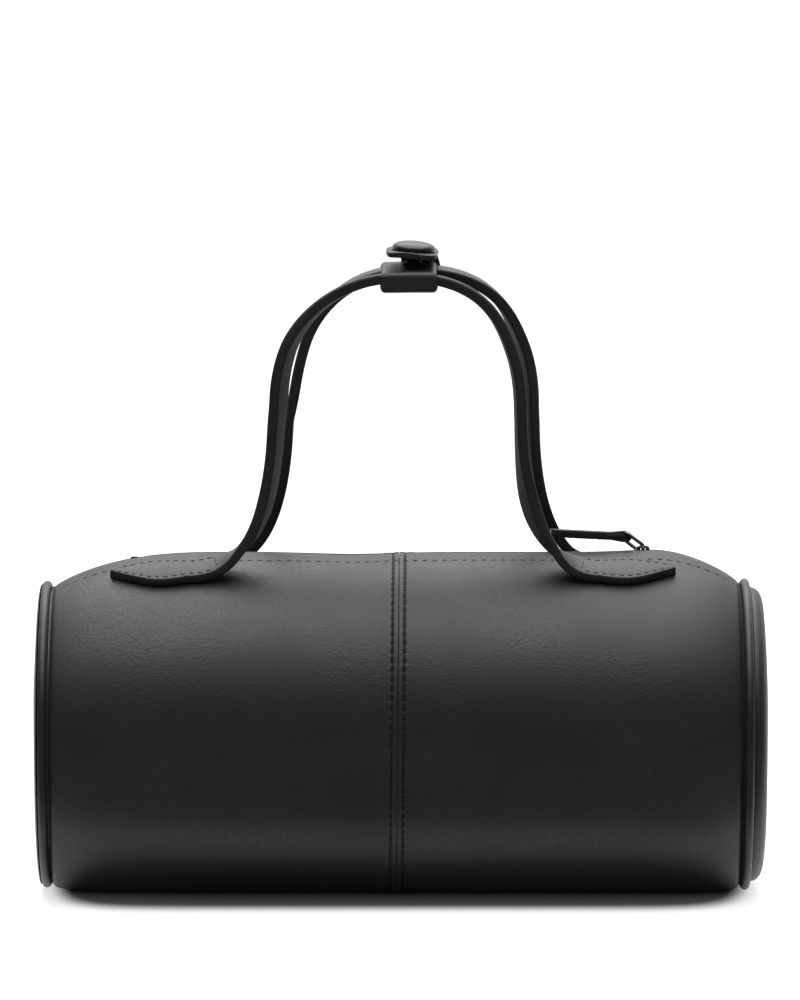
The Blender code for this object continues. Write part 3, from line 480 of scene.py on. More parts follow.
def strip_marks():
    """Return (side, inset, height share, quadrant number) round a strip's section."""
    last = len(STRIP_QUADRANT) - 1
    order = [(1, k, 1) for k in range(last + 1)]
    order += [(1, k, -1) for k in range(last - 1, -1, -1)]
    order += [(-1, k, -1) for k in range(1, last + 1)]
    order += [(-1, k, 1) for k in range(last - 1, 0, -1)]
    return [(side, STRIP_QUADRANT[k][0], face * STRIP_QUADRANT[k][1], k) for side, k, face in order]


def strip_section(half_width, half_thick, grooved=False):
    """Return the width and height offsets of a strip's section for each row of a path."""
    half_width = np.atleast_1d(half_width).astype(float)
    half_thick = np.broadcast_to(half_thick, half_width.shape)
    squeeze = np.minimum(1.0, half_width / STRIP_NARROW)
    wide, tall = [], []
    for side, inset, height, number in strip_marks():
        reach = np.zeros_like(half_width) if inset is None else half_width - inset * squeeze
        flat = math.copysign(1.0, height) if height else 0.0
        share = height if grooved or abs(number - GROOVE_MARK) > 1 else flat
        wide.append(side * reach)
        tall.append(share * half_thick)
    return np.stack(wide, axis=1), np.stack(tall, axis=1)


def strip_paint(inner=0):
    """Return the finish of each face round a strip: 0 leather, 1 painted edge, inner on its low face."""
    marks = [(number, height) for _, _, height, number in strip_marks()]
    paint = []
    for (first, low), (second, high) in zip(marks, marks[1:] + marks[:1]):
        face = inner if min(low, high) < 0.0 else 0
        paint.append(1 if min(first, second) >= PAINT_MARK else face)
    return paint


def groove_columns(face):
    """Return the two places round a strip where its stitches lie, on its top or bottom face."""
    found = []
    for place, (side, _, height, number) in enumerate(strip_marks()):
        if number == GROOVE_MARK and height * face > 0:
            found.append((side, place))
    return [place for side, place in sorted(found, reverse=True)]


def strip(path, across, half_width, half_thick, closed=False):
    """Return the rings and the outward directions of a leather strip along a path."""
    across, out = directions(path, across, closed)
    wide, tall = strip_section(np.broadcast_to(half_width, len(path)), half_thick)
    rings = path[:, None, :] + across[:, None, :] * wide[:, :, None] + out[:, None, :] * tall[:, :, None]
    return rings, out


def turned(profile, steps, place):
    """Turn a closed profile of (radius, height) pairs about the local Z axis and put it in its place."""
    turn = full_turn(steps)
    profile = np.array(profile, float)
    radius, height = profile[:, :1], profile[:, 1:]
    return hose(moved(spread(radius * np.cos(turn), radius * np.sin(turn), height), place))


def plate(outline, low, high, edge):
    """Return a flat plate with rounded rims from its plan outline."""
    outline = np.array(outline, float)
    tangent = unit(np.roll(outline, -1, axis=0) - np.roll(outline, 1, axis=0))
    inward = np.stack((-tangent[:, 1], tangent[:, 0]), axis=1)
    if np.sum(inward * (outline.mean(0) - outline)) < 0.0:
        inward = -inward
    levels = ((low, edge), (low + 0.3 * edge, 0.3 * edge), (low + edge, 0.0))
    levels += ((high - edge, 0.0), (high - 0.3 * edge, 0.3 * edge), (high, edge))
    rings = []
    for height, inset in levels:
        flat = outline + inward * inset
        rings.append(np.column_stack((flat, np.full(len(flat), height))))
    return hose(np.array(rings))


def add_piece(name, parts, finishes, stands_for=(), sharp=42.0):
    """Make one shaded object from (vertices, faces, finish) parts."""
    vertices, faces, marks = [], [], []
    for points, corners, mark in parts:
        start = len(vertices)
        vertices += np.asarray(points).tolist()
        faces += [[corner + start for corner in face] for face in corners]
        marks += [mark] * len(corners) if isinstance(mark, int) else list(mark)
    if not faces:
        raise RuntimeError(f"{name} has no faces")
    mesh = bpy.data.meshes.new(name)
    mesh.from_pydata(vertices, [], faces)
    for finish in finishes:
        mesh.materials.append(finish)
    mesh.polygons.foreach_set("material_index", np.array(marks, np.int32))
    work = bmesh.new()
    work.from_mesh(mesh)
    bmesh.ops.recalc_face_normals(work, faces=work.faces)
    work.to_mesh(mesh)
    work.free()
    mesh.shade_smooth()
    mesh.set_sharp_from_angle(angle=math.radians(sharp))
    item = bpy.data.objects.new(name, mesh)
    bpy.context.scene.collection.objects.link(item)
    if stands_for:
        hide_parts(*stands_for)
    return item


def thread_run(path, normals, pitch, thread):
    """Return the stitches along a path as parts: plied thread that dives into the leather at both ends."""
    steps = np.linalg.norm(np.diff(path, axis=0), axis=1)
    run = np.concatenate(([0.0], np.cumsum(steps)))
    count = int(run[-1] / pitch + 1e-6)
    if count < 1:
        raise RuntimeError("a stitch line is shorter than one stitch")
    time = np.linspace(0.0, 1.0, 9)
    places = pitch * (np.arange(count)[:, None] + 0.5 + STITCH_SHARE * (time[None, :] - 0.5))
    centre = np.stack([np.interp(places, run, path[:, k]) for k in range(3)], axis=-1)
    normal = unit(np.stack([np.interp(places, run, normals[:, k]) for k in range(3)], axis=-1))
    along = unit(np.gradient(centre, axis=1))
    side = np.cross(along, normal)
    crest = 1.0 - np.abs(2.0 * time - 1.0) ** 3.0
    lift = thread * (0.75 * crest - 0.70)
    drift = STITCH_SLANT * pitch * STITCH_SHARE * (time - 0.5)
    centre = centre + normal * lift[None, :, None] + side * drift[None, :, None]
    turn = full_turn(8)
    ply = 1.0 + 0.10 * np.cos(2.0 * turn[None, :] - 7.0 * time[:, None])
    radius = thread / 2 * (0.72 + 0.28 * crest)[:, None] * ply
    rings = centre[:, :, None, :]
    rings = rings + side[:, :, None, :] * (radius * np.cos(turn))[None, :, :, None]
    rings = rings + normal[:, :, None, :] * (radius * np.sin(turn))[None, :, :, None]
    return [hose(stitch) for stitch in rings]


# Finishes

class Bench:
    """Adds nodes to one tree and joins them."""

    def __init__(self, tree):
        """Keep the tree that the nodes go into."""
        self.tree = tree

    def add(self, kind, **values):
        """Add a node and set its plain properties."""
        node = self.tree.nodes.new(kind)
        for key, value in values.items():
            setattr(node, key, value)
        return node

    def feed(self, socket, value):
        """Link a socket's source, or set its value."""
        if isinstance(value, bpy.types.NodeSocket):
            self.tree.links.new(value, socket)
        else:
            socket.default_value = value

    def math(self, operation, first, second=0.0, third=0.0):
        """Add a Math node and return its result."""
        node = self.add("ShaderNodeMath", operation=operation)
        for socket, value in zip(node.inputs, (first, second, third)):
            self.feed(socket, value)
        return node.outputs[0]

    def ramp(self, value, low, high, start=0.0, end=1.0):
        """Map a value from one range to another, held at both ends."""
        node = self.add("ShaderNodeMapRange", interpolation_type="SMOOTHSTEP")
        for label, number in (("Value", value), ("From Min", low), ("From Max", high),
                              ("To Min", start), ("To Max", end)):
            self.feed(node.inputs[label], number)
        return node.outputs[0]

    def blend(self, factor, first, second):
        """Mix two colours."""
        node = self.add("ShaderNodeMix", data_type="RGBA")
        for socket, value in ((node.inputs[0], factor), (node.inputs[6], first), (node.inputs[7], second)):
            self.feed(socket, value)
        return node.outputs[2]

    def noise(self, vector, scale, detail=2.0, roughness=0.5):
        """Add a Noise texture and return its value."""
        node = self.add("ShaderNodeTexNoise")
        self.feed(node.inputs["Vector"], vector)
        self.feed(node.inputs["Scale"], scale)
        node.inputs["Detail"].default_value = detail
        node.inputs["Roughness"].default_value = roughness
        return node.outputs[0]

    def place(self, stretch=(1.0, 1.0, 1.0)):
        """Return the place on the piece in metres, stretched along its axes."""
        spot = self.add("ShaderNodeTexCoord")
        scale = self.add("ShaderNodeVectorMath", operation="MULTIPLY")
        self.feed(scale.inputs[0], spot.outputs["Object"])
        scale.inputs[1].default_value = stretch
        return scale.outputs[0]

    def axes(self):
        """Return the three coordinates of the place on the piece."""
        node = self.add("ShaderNodeSeparateXYZ")
        self.feed(node.inputs[0], self.place())
        return node.outputs

    def scaled(self, colour, share):
        """Return a colour times a number."""
        node = self.add("ShaderNodeVectorMath", operation="SCALE")
        self.feed(node.inputs[0], colour)
        self.feed(node.inputs["Scale"], share)
        return node.outputs[0]


def new_group(name, inputs, outputs):
    """Start a shader node group; inputs and outputs are (label, socket kind, value)."""
    tree = bpy.data.node_groups.new(name, "ShaderNodeTree")
    for label, kind, value in inputs:
        socket = tree.interface.new_socket(name=label, in_out="INPUT", socket_type=kind)
        socket.default_value = value
    for label, kind in outputs:
        tree.interface.new_socket(name=label, in_out="OUTPUT", socket_type=kind)
    bench = Bench(tree)
    return bench, bench.add("NodeGroupInput").outputs, bench.add("NodeGroupOutput").inputs


COLOUR = "NodeSocketColor"
VALUE = "NodeSocketFloat"
FINISH_OUTPUTS = (("Colour", COLOUR), ("Roughness", VALUE), ("Height", VALUE))


def leather_grain():
    """Pebbled grain with fine creases, stronger in some places than in others, with painted shade in its
    hollows.
    """
    inputs = (("Colour", COLOUR, (0.02, 0.02, 0.02, 1.0)), ("Pebble", VALUE, 0.001),
              ("Roughness", VALUE, 0.5), ("Evenness", VALUE, 0.5))
    bench, given, result = new_group("leather_grain", inputs, FINISH_OUTPUTS)
    scale = bench.math("DIVIDE", 1.0, given["Pebble"])
    spot = bench.place((0.80, 1.0, 1.0))
    warp = bench.add("ShaderNodeTexNoise")
    bench.feed(warp.inputs["Vector"], spot)
    bench.feed(warp.inputs["Scale"], bench.math("MULTIPLY", scale, 0.45))
    warp.inputs["Detail"].default_value = 2.0
    push = bench.add("ShaderNodeVectorMath", operation="MULTIPLY_ADD")
    bench.feed(push.inputs[0], warp.outputs["Color"])
    push.inputs[1].default_value = (0.0011, 0.0011, 0.0011)
    bench.feed(push.inputs[2], spot)
    cells = bench.add("ShaderNodeTexVoronoi", feature="SMOOTH_F1")
    bench.feed(cells.inputs["Vector"], push.outputs[0])
    bench.feed(cells.inputs["Scale"], scale)
    cells.inputs["Smoothness"].default_value = 0.35
    pebbles = bench.ramp(cells.outputs["Distance"], 0.15, 0.85, 1.0, 0.0)
    rifts = bench.add("ShaderNodeTexVoronoi", feature="DISTANCE_TO_EDGE")
    bench.feed(rifts.inputs["Vector"], push.outputs[0])
    bench.feed(rifts.inputs["Scale"], bench.math("MULTIPLY", scale, 0.42))
    creases = bench.ramp(rifts.outputs["Distance"], 0.0, 0.10)
    wide = bench.noise(spot, 26.0)
    strength = bench.ramp(wide, 0.34, 0.66, given["Evenness"], 1.0)
    fine = bench.noise(spot, bench.math("MULTIPLY", scale, 3.2), 3.0, 0.6)
    height = bench.math("MULTIPLY", pebbles, 0.66)
    height = bench.math("MULTIPLY_ADD", creases, 0.30, height)
    height = bench.math("MULTIPLY", height, strength)
    height = bench.math("MULTIPLY_ADD", fine, 0.16, height)
    bench.feed(result["Height"], height)
    # Painted shade: the colour darkens down in the grain's hollows and creases and lightens on the pebbles'
    # tops; the noise then adds tone that differs at random.
    tone = bench.ramp(height, 0.15, 0.95, 0.82, 1.08)
    tone = bench.math("MULTIPLY", tone, bench.ramp(bench.noise(spot, 60.0, 3.0), 0.2, 0.8, 0.93, 1.07))
    bench.feed(result["Colour"], bench.scaled(given["Colour"], tone))
    polish = bench.ramp(height, 0.1, 1.0, 0.05, -0.03)
    polish = bench.math("SUBTRACT", polish, 0.03)
    polish = bench.math("MULTIPLY_ADD", bench.noise(spot, 90.0), 0.06, polish)
    bench.feed(result["Roughness"], bench.math("ADD", given["Roughness"], polish))
    return bench.tree


def stitch_holes():
    """Needle holes and small puckers beside the barrel's seams."""
    inputs = (("Pitch", VALUE, 0.0034), ("Hole", VALUE, 0.0005))
    bench, given, result = new_group("stitch_holes", inputs, (("Hole", VALUE), ("Height", VALUE)))
    x, y, z = bench.axes()
    rise = bench.math("SUBTRACT", z, MID_CENTRE_Z)
    turn = bench.math("ARCTAN2", bench.math("MULTIPLY", y, -1.0), rise)
    turn = bench.math("ABSOLUTE", bench.math("ADD", turn, ZIP_ROLL))
    arc = bench.math("MULTIPLY_ADD", turn, BODY_RADIUS, -WINDOW_HALF_WIDTH)
    seam = bench.math("MULTIPLY_ADD", rise, SEAM_DRIFT / 2 / BODY_RADIUS, SEAM_TOP_X - SEAM_DRIFT / 2)
    off = bench.math("ABSOLUTE", bench.math("SUBTRACT", x, seam))
    off = bench.math("ABSOLUTE", bench.math("SUBTRACT", off, SEAM_STITCH_INSET))
    near = hole_distance(bench, arc, off, given["Pitch"])
    over = bench.math("MULTIPLY", bench.math("SUBTRACT", turn, ZIP_STITCH_ANGLE), BODY_RADIUS)
    run = bench.math("ADD", x, ZIP_STITCH_START)
    far = hole_distance(bench, run, over, given["Pitch"])
    least = bench.math("MINIMUM", near, bench.math("MULTIPLY", far, 1.7))
    hole = bench.ramp(least, bench.math("MULTIPLY", given["Hole"], 0.45), given["Hole"], 1.0, 0.0)
    bench.feed(result["Hole"], hole)
    pucker = bench.ramp(least, 0.0, 0.0016, -1.0, 0.0)
    bench.feed(result["Height"], bench.math("MULTIPLY_ADD", hole, -1.6, pucker))
    return bench.tree


def hole_distance(bench, run, off, pitch):
    """Return the distance to the nearest of a row of holes, from run along and off across it."""
    share = bench.math("FRACT", bench.math("ADD", bench.math("DIVIDE", run, pitch), 0.5))
    gap = bench.math("MULTIPLY", bench.math("SUBTRACT", share, 0.5), pitch)
    square = bench.math("MULTIPLY", gap, gap)
    return bench.math("SQRT", bench.math("MULTIPLY_ADD", off, off, square))


def woven_cloth():
    """Plain weave of tapes, lining and thread, with painted shade between its threads."""
    inputs = (("Colour", COLOUR, (0.01, 0.01, 0.01, 1.0)), ("Weave", VALUE, 0.0005),
              ("Roughness", VALUE, 0.85))
    bench, given, result = new_group("woven_cloth", inputs, FINISH_OUTPUTS)
    x, y, z = bench.axes()
    turns = bench.math("DIVIDE", math.pi, given["Weave"])
    warp = bench.math("SINE", bench.math("MULTIPLY", x, turns))
    weft = bench.math("SINE", bench.math("MULTIPLY", bench.math("ADD", y, z), turns))
    rib = bench.math("ABSOLUTE", bench.math("MULTIPLY", warp, weft))
    fuzz = bench.noise(bench.place(), bench.math("DIVIDE", 0.8, given["Weave"]), 3.0, 0.6)
    height = bench.math("MULTIPLY_ADD", fuzz, 0.4, rib)
    bench.feed(result["Height"], height)
    # Painted shade: the colour darkens between the threads and lightens on their tops.
    bench.feed(result["Colour"], bench.scaled(given["Colour"], bench.ramp(height, 0.1, 1.2, 0.65, 1.25)))
    bench.feed(result["Roughness"], bench.math("MULTIPLY_ADD", fuzz, 0.1, given["Roughness"]))
    return bench.tree


def edge_wear():
    """Rubbed edges and faint scratches of metal, enamel and edge paint."""
    inputs = (("Colour", COLOUR, (0.3, 0.3, 0.3, 1.0)), ("Worn Colour", COLOUR, (0.5, 0.5, 0.5, 1.0)),
              ("Wear", VALUE, 0.3), ("Roughness", VALUE, 0.3), ("Scratches", VALUE, 0.2))
    bench, given, result = new_group("edge_wear", inputs, FINISH_OUTPUTS)
    spot = bench.place()
    form = bench.add("ShaderNodeNewGeometry")
    ridge = bench.ramp(form.outputs["Pointiness"], 0.52, 0.62)
    patch = bench.ramp(bench.noise(spot, 900.0, 4.0, 0.6), 0.42, 0.62)
    worn = bench.math("MULTIPLY", bench.math("MULTIPLY", ridge, patch), given["Wear"])
    bench.feed(result["Colour"], bench.blend(worn, given["Colour"], given["Worn Colour"]))
    lines = bench.noise(bench.place((120.0, 1400.0, 1400.0)), 1.0, 3.0, 0.65)
    smudge = bench.noise(spot, 220.0)
    scratch = bench.math("SUBTRACT", lines, 0.5)
    rough = bench.math("MULTIPLY_ADD", scratch, given["Scratches"], given["Roughness"])
    rough = bench.math("MULTIPLY_ADD", bench.math("SUBTRACT", smudge, 0.5), 0.16, rough)
    bench.feed(result["Roughness"], rough)
    height = bench.math("MULTIPLY_ADD", smudge, 0.5, bench.math("MULTIPLY", lines, 0.3))
    bench.feed(result["Height"], height)
    return bench.tree


def start_finish(name, specular=0.5, sheen=0.0, coat=0.0, coat_roughness=0.3, metallic=0.0):
    """Make a material and return it with its bench and shader."""
    material = bpy.data.materials.new(name)
    material.use_nodes = True
    shader = material.node_tree.nodes["Principled BSDF"]
    shader.inputs["Specular IOR Level"].default_value = specular
    shader.inputs["Sheen Weight"].default_value = sheen
    shader.inputs["Sheen Roughness"].default_value = 0.4
    shader.inputs["Coat Weight"].default_value = coat
    shader.inputs["Coat Roughness"].default_value = coat_roughness
    shader.inputs["Metallic"].default_value = metallic
    return material, Bench(material.node_tree), shader


def use_group(bench, make, **values):
    """Place the node group of its maker's name, which is built once, and feed its inputs."""
    group = bpy.data.node_groups.get(make.__name__) or make()
    node = bench.add("ShaderNodeGroup", node_tree=group)
    for label, value in values.items():
        value = (*value, 1.0) if hasattr(value, "__len__") and len(value) == 3 else value
        bench.feed(node.inputs[label.replace("_", " ")], value)
    return node.outputs


def raise_bump(bench, shader, height, distance):
    """Turn a height in shares of a distance into the shader's normal."""
    bump = bench.add("ShaderNodeBump")
    bump.inputs["Strength"].default_value = 1.0
    bump.inputs["Distance"].default_value = distance
    bench.feed(bump.inputs["Height"], height)
    bench.feed(shader.inputs["Normal"], bump.outputs[0])


def dress(bench, shader, given, depth):
    """Feed the shader from a group's colour, roughness and height."""
    bench.feed(shader.inputs["Base Color"], given["Colour"])
    bench.feed(shader.inputs["Roughness"], given["Roughness"])
    raise_bump(bench, shader, given["Height"], depth)


def leather_finish(name, colour, grain_share=1.0, rough_shift=0.0, pebble_share=1.0, specular=0.45,
                   evenness=0.6):
    """Soft black leather with its grain."""
    found = bpy.data.materials.get(name)
    if found:
        return found
    own = bag().leather
    material, bench, shader = start_finish(name, specular=specular)
    grain = use_group(bench, leather_grain, Colour=tuple(colour), Pebble=own.pebble * pebble_share,
                      Roughness=own.roughness + rough_shift, Evenness=evenness)
    dress(bench, shader, grain, own.grain * grain_share)
    return material


def body_leather():
    """Leather of the barrel, with the needle holes of its seams painted near black as the shade inside
    them.
    """
    found = bpy.data.materials.get("body_leather_finish")
    if found:
        return found
    own, stitch = bag().leather, bag().stitch
    material, bench, shader = start_finish("body_leather_finish", specular=0.50)
    grain = use_group(bench, leather_grain, Colour=tuple(own.colour), Pebble=own.pebble,
                      Roughness=own.roughness, Evenness=0.30)
    holes = use_group(bench, stitch_holes, Pitch=stitch.pitch, Hole=stitch.thread * 1.15)
    # Painted shade: the needle holes are blended to near black, standing in for the shade inside them.
    dark = (0.002, 0.002, 0.002, 1.0)
    bench.feed(shader.inputs["Base Color"], bench.blend(holes["Hole"], grain["Colour"], dark))
    rough = bench.math("MULTIPLY_ADD", holes["Hole"], 0.4, grain["Roughness"])
    bench.feed(shader.inputs["Roughness"], rough)
    height = bench.math("MULTIPLY_ADD", holes["Height"], 2.2, grain["Height"])
    raise_bump(bench, shader, height, own.grain)
    return material


def strap_leather():
    """Smooth leather of the handles, the keeper and the pull."""
    return leather_finish("strap_leather_finish", bag().leather.strap_colour, grain_share=0.45,
                          rough_shift=-0.02, pebble_share=0.75)


def strap_lining():
    """Matt leather on the inner face of the handles."""
    colour = [0.6 * value for value in bag().leather.strap_colour]
    return leather_finish("strap_lining_finish", colour, grain_share=0.6, rough_shift=0.24,
                          pebble_share=0.6, specular=0.16)


def piping_leather():
    """Thin leather pulled tight over a cord."""
    return leather_finish("piping_leather_finish", bag().leather.piping_colour, grain_share=0.35,
                          rough_shift=-0.05, pebble_share=0.8)


def worn_finish(name, colour, worn, wear, roughness, scratches, height=0.00001, **shader_values):
    """A hard finish with rubbed edges."""
    found = bpy.data.materials.get(name)
    if found:
        return found
    material, bench, shader = start_finish(name, **shader_values)
    wears = use_group(bench, edge_wear, Colour=tuple(colour), Worn_Colour=tuple(worn), Wear=wear,
                      Roughness=roughness, Scratches=scratches)
    dress(bench, shader, wears, height)
    return material


def edge_paint():
    """Satin paint on the cut edges of the straps."""
    return worn_finish("edge_paint_finish", bag().leather.edge_colour, (0.035, 0.034, 0.033), wear=0.35,
                       roughness=0.40, scratches=0.10, height=0.00003, specular=0.45)


def zip_metal():
    """Dark polished nickel."""
    own = bag().metal
    return worn_finish("zip_metal_finish", own.zip_colour, (0.62, 0.60, 0.57), wear=0.6,
                       roughness=own.zip_roughness, scratches=0.22, metallic=1.0)


def cap_enamel():
    """Black enamel of the snap."""
    return worn_finish("snap_enamel_finish", bag().metal.cap_colour, (0.10, 0.10, 0.10), wear=0.25,
                       roughness=0.34, scratches=0.10, coat=0.12, coat_roughness=0.25)


def snap_metal():
    """Near-black matt metal of the snap's hidden halves, its colour painted shade for the shadow under the
    flap.
    """
    # Painted shade: the socket and the stud are coloured near black because they lie in shadow under the
    # flap; the rubbed edges are wear.
    return worn_finish("snap_shade_metal_finish", (0.008, 0.008, 0.008), (0.1, 0.1, 0.1), wear=0.3,
                       roughness=0.55, scratches=0.2, specular=0.25)


def cloth_finish(name, colour, weave, roughness=0.82, depth=0.00008, sheen=0.15):
    """Woven cloth, tape or thread."""
    found = bpy.data.materials.get(name)
    if found:
        return found
    material, bench, shader = start_finish(name, specular=0.25, sheen=sheen)
    cloth = use_group(bench, woven_cloth, Colour=tuple(colour), Weave=weave, Roughness=roughness)
    dress(bench, shader, cloth, depth)
    return material


def tape_cloth():
    """Black woven tape."""
    return cloth_finish("tape_cloth_finish", bag().cloth.tape_colour, bag().cloth.weave)


def lining_cloth():
    """Black twill lining."""
    return cloth_finish("lining_cloth_finish", bag().cloth.lining_colour, bag().cloth.weave * 1.3)


def thread_finish():
    """Waxed black sewing thread."""
    return cloth_finish("thread_finish", bag().stitch.colour, 0.00022, roughness=0.55, depth=0.00003,
                        sheen=0.0)


def board_finish():
    """Grey pressed board, hidden in the wall."""
    return cloth_finish("stiffener_board_finish", (0.18, 0.17, 0.15), 0.0012, roughness=0.85, depth=0.00005,
                        sheen=0.0)


# Barrel

def shoulder(x):
    """Return 0 in the straight middle of the barrel, rising to 1 at its ends."""
    left = np.asarray(x) < 0.0
    length = np.where(left, LEFT_SHOULDER_LENGTH, RIGHT_SHOULDER_LENGTH)
    power = np.where(left, LEFT_SHOULDER_POWER, RIGHT_SHOULDER_POWER)
    inset = np.clip((BODY_HALF_LENGTH - np.abs(x)) / length, 0.0, 1.0)
    return (1.0 - inset) ** power


def section(x):
    """Return the radius and the centre height of the barrel's round section."""
    share = shoulder(x)
    radius = BODY_RADIUS + (END_RADIUS - BODY_RADIUS) * share
    return radius, MID_CENTRE_Z + (END_CENTRE_Z - MID_CENTRE_Z) * share


def skin(x, angle, depth=0.0, relief=0.0):
    """Return points below the skin; the angle runs from the top toward the front."""
    radius, centre = section(x)
    reach = radius - depth + relief
    over = centre + reach * np.cos(angle) - depth
    z = depth + (over + np.sqrt(over ** 2 + BASE_SOFTNESS ** 2)) / 2
    return spread(x, -reach * np.sin(angle), z)


def outward(angle):
    """Return the direction out of the barrel at an angle."""
    return spread(0.0, -np.sin(angle), np.cos(angle))


def from_zip(angle):
    """Return how far a place lies round the barrel from the zip's middle, as an angle."""
    return np.abs((angle + ZIP_ROLL + math.pi) % (2 * math.pi) - math.pi)


def unevenness(x, angle):
    """Return the slow waves of the stuffed leather with its dip, its lip and its sag."""
    own = bag().barrel
    from_top = np.abs((angle + math.pi) % (2 * math.pi) - math.pi)
    fade = smooth(from_zip(angle), 0.12, 0.60)
    waves = 0.60 * np.sin(41.0 * x + 0.9 + 1.4 * np.sin(angle)) * np.sin(3.0 * angle + 0.5)
    waves = waves + 0.40 * np.sin(83.0 * x - 1.1) * np.sin(5.0 * angle + 31.0 * x)
    dip = bell(x - DIP_X, DIP_LENGTH) * bell(from_top, DIP_SPREAD)
    lip = bell(x - LIP_X, LIP_LENGTH) * bell(from_zip(angle) - LIP_ANGLE, LIP_SPREAD)
    sag = smooth(np.abs(x), SAG_START, SAG_END) * bell(math.pi - np.abs(angle), SAG_SPREAD)
    return own.unevenness * fade * waves - own.saddle * dip + LIP_HEIGHT * lip + SAG_DEPTH * sag


def rolled(distance, radius):
    """Return how far a turned edge has dropped at a distance from it."""
    inside = np.clip(1.0 - distance / radius, 0.0, 1.0)
    return radius * (1.0 - np.sqrt(np.maximum(0.0, 1.0 - inside ** 2)))


def tucked(distance):
    """Return how far the leather has turned in at a distance from the piping."""
    return rolled(distance, TUCK_RADIUS) + TUCK_DEPTH * np.exp(-distance / TUCK_REACH)


def skin_end(x):
    """Return how far from the middle the wrap ends, on the side of the bag that x lies on."""
    return BODY_HALF_LENGTH + np.where(np.asarray(x) < 0.0, END_SHIFT[-1], END_SHIFT[1])


def seam_place(angle):
    """Return where the centre seam runs; it wanders a little to the left on its way down."""
    return SEAM_TOP_X - SEAM_DRIFT * (1.0 - np.cos(angle)) / 2


def panel_relief(x, angle, seam_gap):
    """Return how far the leather stands out of the plain skin."""
    own = bag().barrel
    radius = section(x)[0]
    start = np.arcsin(WINDOW_HALF_WIDTH / radius)
    window_gap = (from_zip(angle) - start) * radius
    relief = unevenness(x, angle)
    relief = relief + SEAM_RIDGE * bell(seam_gap - 0.0010, 0.0009)
    relief = relief + SEAM_PLY * (1.0 - smooth(seam_gap, 0.0042, 0.0062))
    relief = relief - own.furrow * bell(seam_gap - SEAM_STITCH_INSET, 0.00042)
    over = (from_zip(angle) - ZIP_STITCH_ANGLE) * radius
    relief = relief - 0.5 * own.furrow * bell(over, 0.00050)
    relief = relief + WINDOW_PLY * (1.0 - smooth(window_gap, 0.0050, 0.0072))
    relief = relief - rolled(window_gap, own.edge_roll) - rolled(seam_gap, own.edge_roll * 0.45)
    relief = relief - tucked(skin_end(x) - np.abs(x))
    return np.maximum(relief, -MOST_RELIEF)


def graded(length, count, power):
    """Return places from 0 to a length, closest together at the start."""
    return length * np.linspace(0.0, 1.0, count) ** power


def panel_grid(side):
    """Return the places along the bag, the angles and the seam distances of one leather half."""
    near, end = graded(0.0080, 34, 1.6), graded(0.0090, 18, 1.7)
    reach = float(skin_end(side))
    middle = np.arange(near[-1] + 0.0020, reach - end[-1] - 0.0012, 0.0021)
    gaps = np.concatenate((near, middle, reach - end[::-1]))
    edge = graded(0.0078, 26, 1.4)
    whole = 2 * (math.pi - math.asin(WINDOW_HALF_WIDTH / BODY_RADIUS)) * BODY_RADIUS
    inner = np.linspace(edge[-1], whole - edge[-1], 180)[1:-1]
    arcs = np.concatenate((edge, inner, whole - edge[::-1])) / whole
    gaps = gaps + SEAM_PART / 2 * (1.0 - gaps / reach)
    start = np.arcsin(WINDOW_HALF_WIDTH / section(side * gaps)[0])[:, None]
    angle = start - ZIP_ROLL + (2 * math.pi - 2 * start) * arcs[None, :]
    seam = seam_place(angle) * (1.0 - gaps / reach)[:, None]
    return side * gaps[:, None] + seam, angle, gaps[:, None]


class BARREL_OT_body_panels(Operator):
    """Make both leather halves of the barrel, with turned edges and stitched furrows"""
    bl_idname = "barrel_bag.body_panels"
    bl_label = "Body panels"

    def execute(self, context):
        for word, side in SIDES:
            x, angle, gap = panel_grid(side)
            outer = skin(x, angle, 0.0, panel_relief(x, angle, gap))
            inner = skin(x, angle, LEATHER)
            item = add_piece(f"leather_half_{word}", [layer(outer, inner)], [body_leather()],
                             (f"body_panel_{word}",))
            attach(item, "bag")
        return {"FINISHED"}


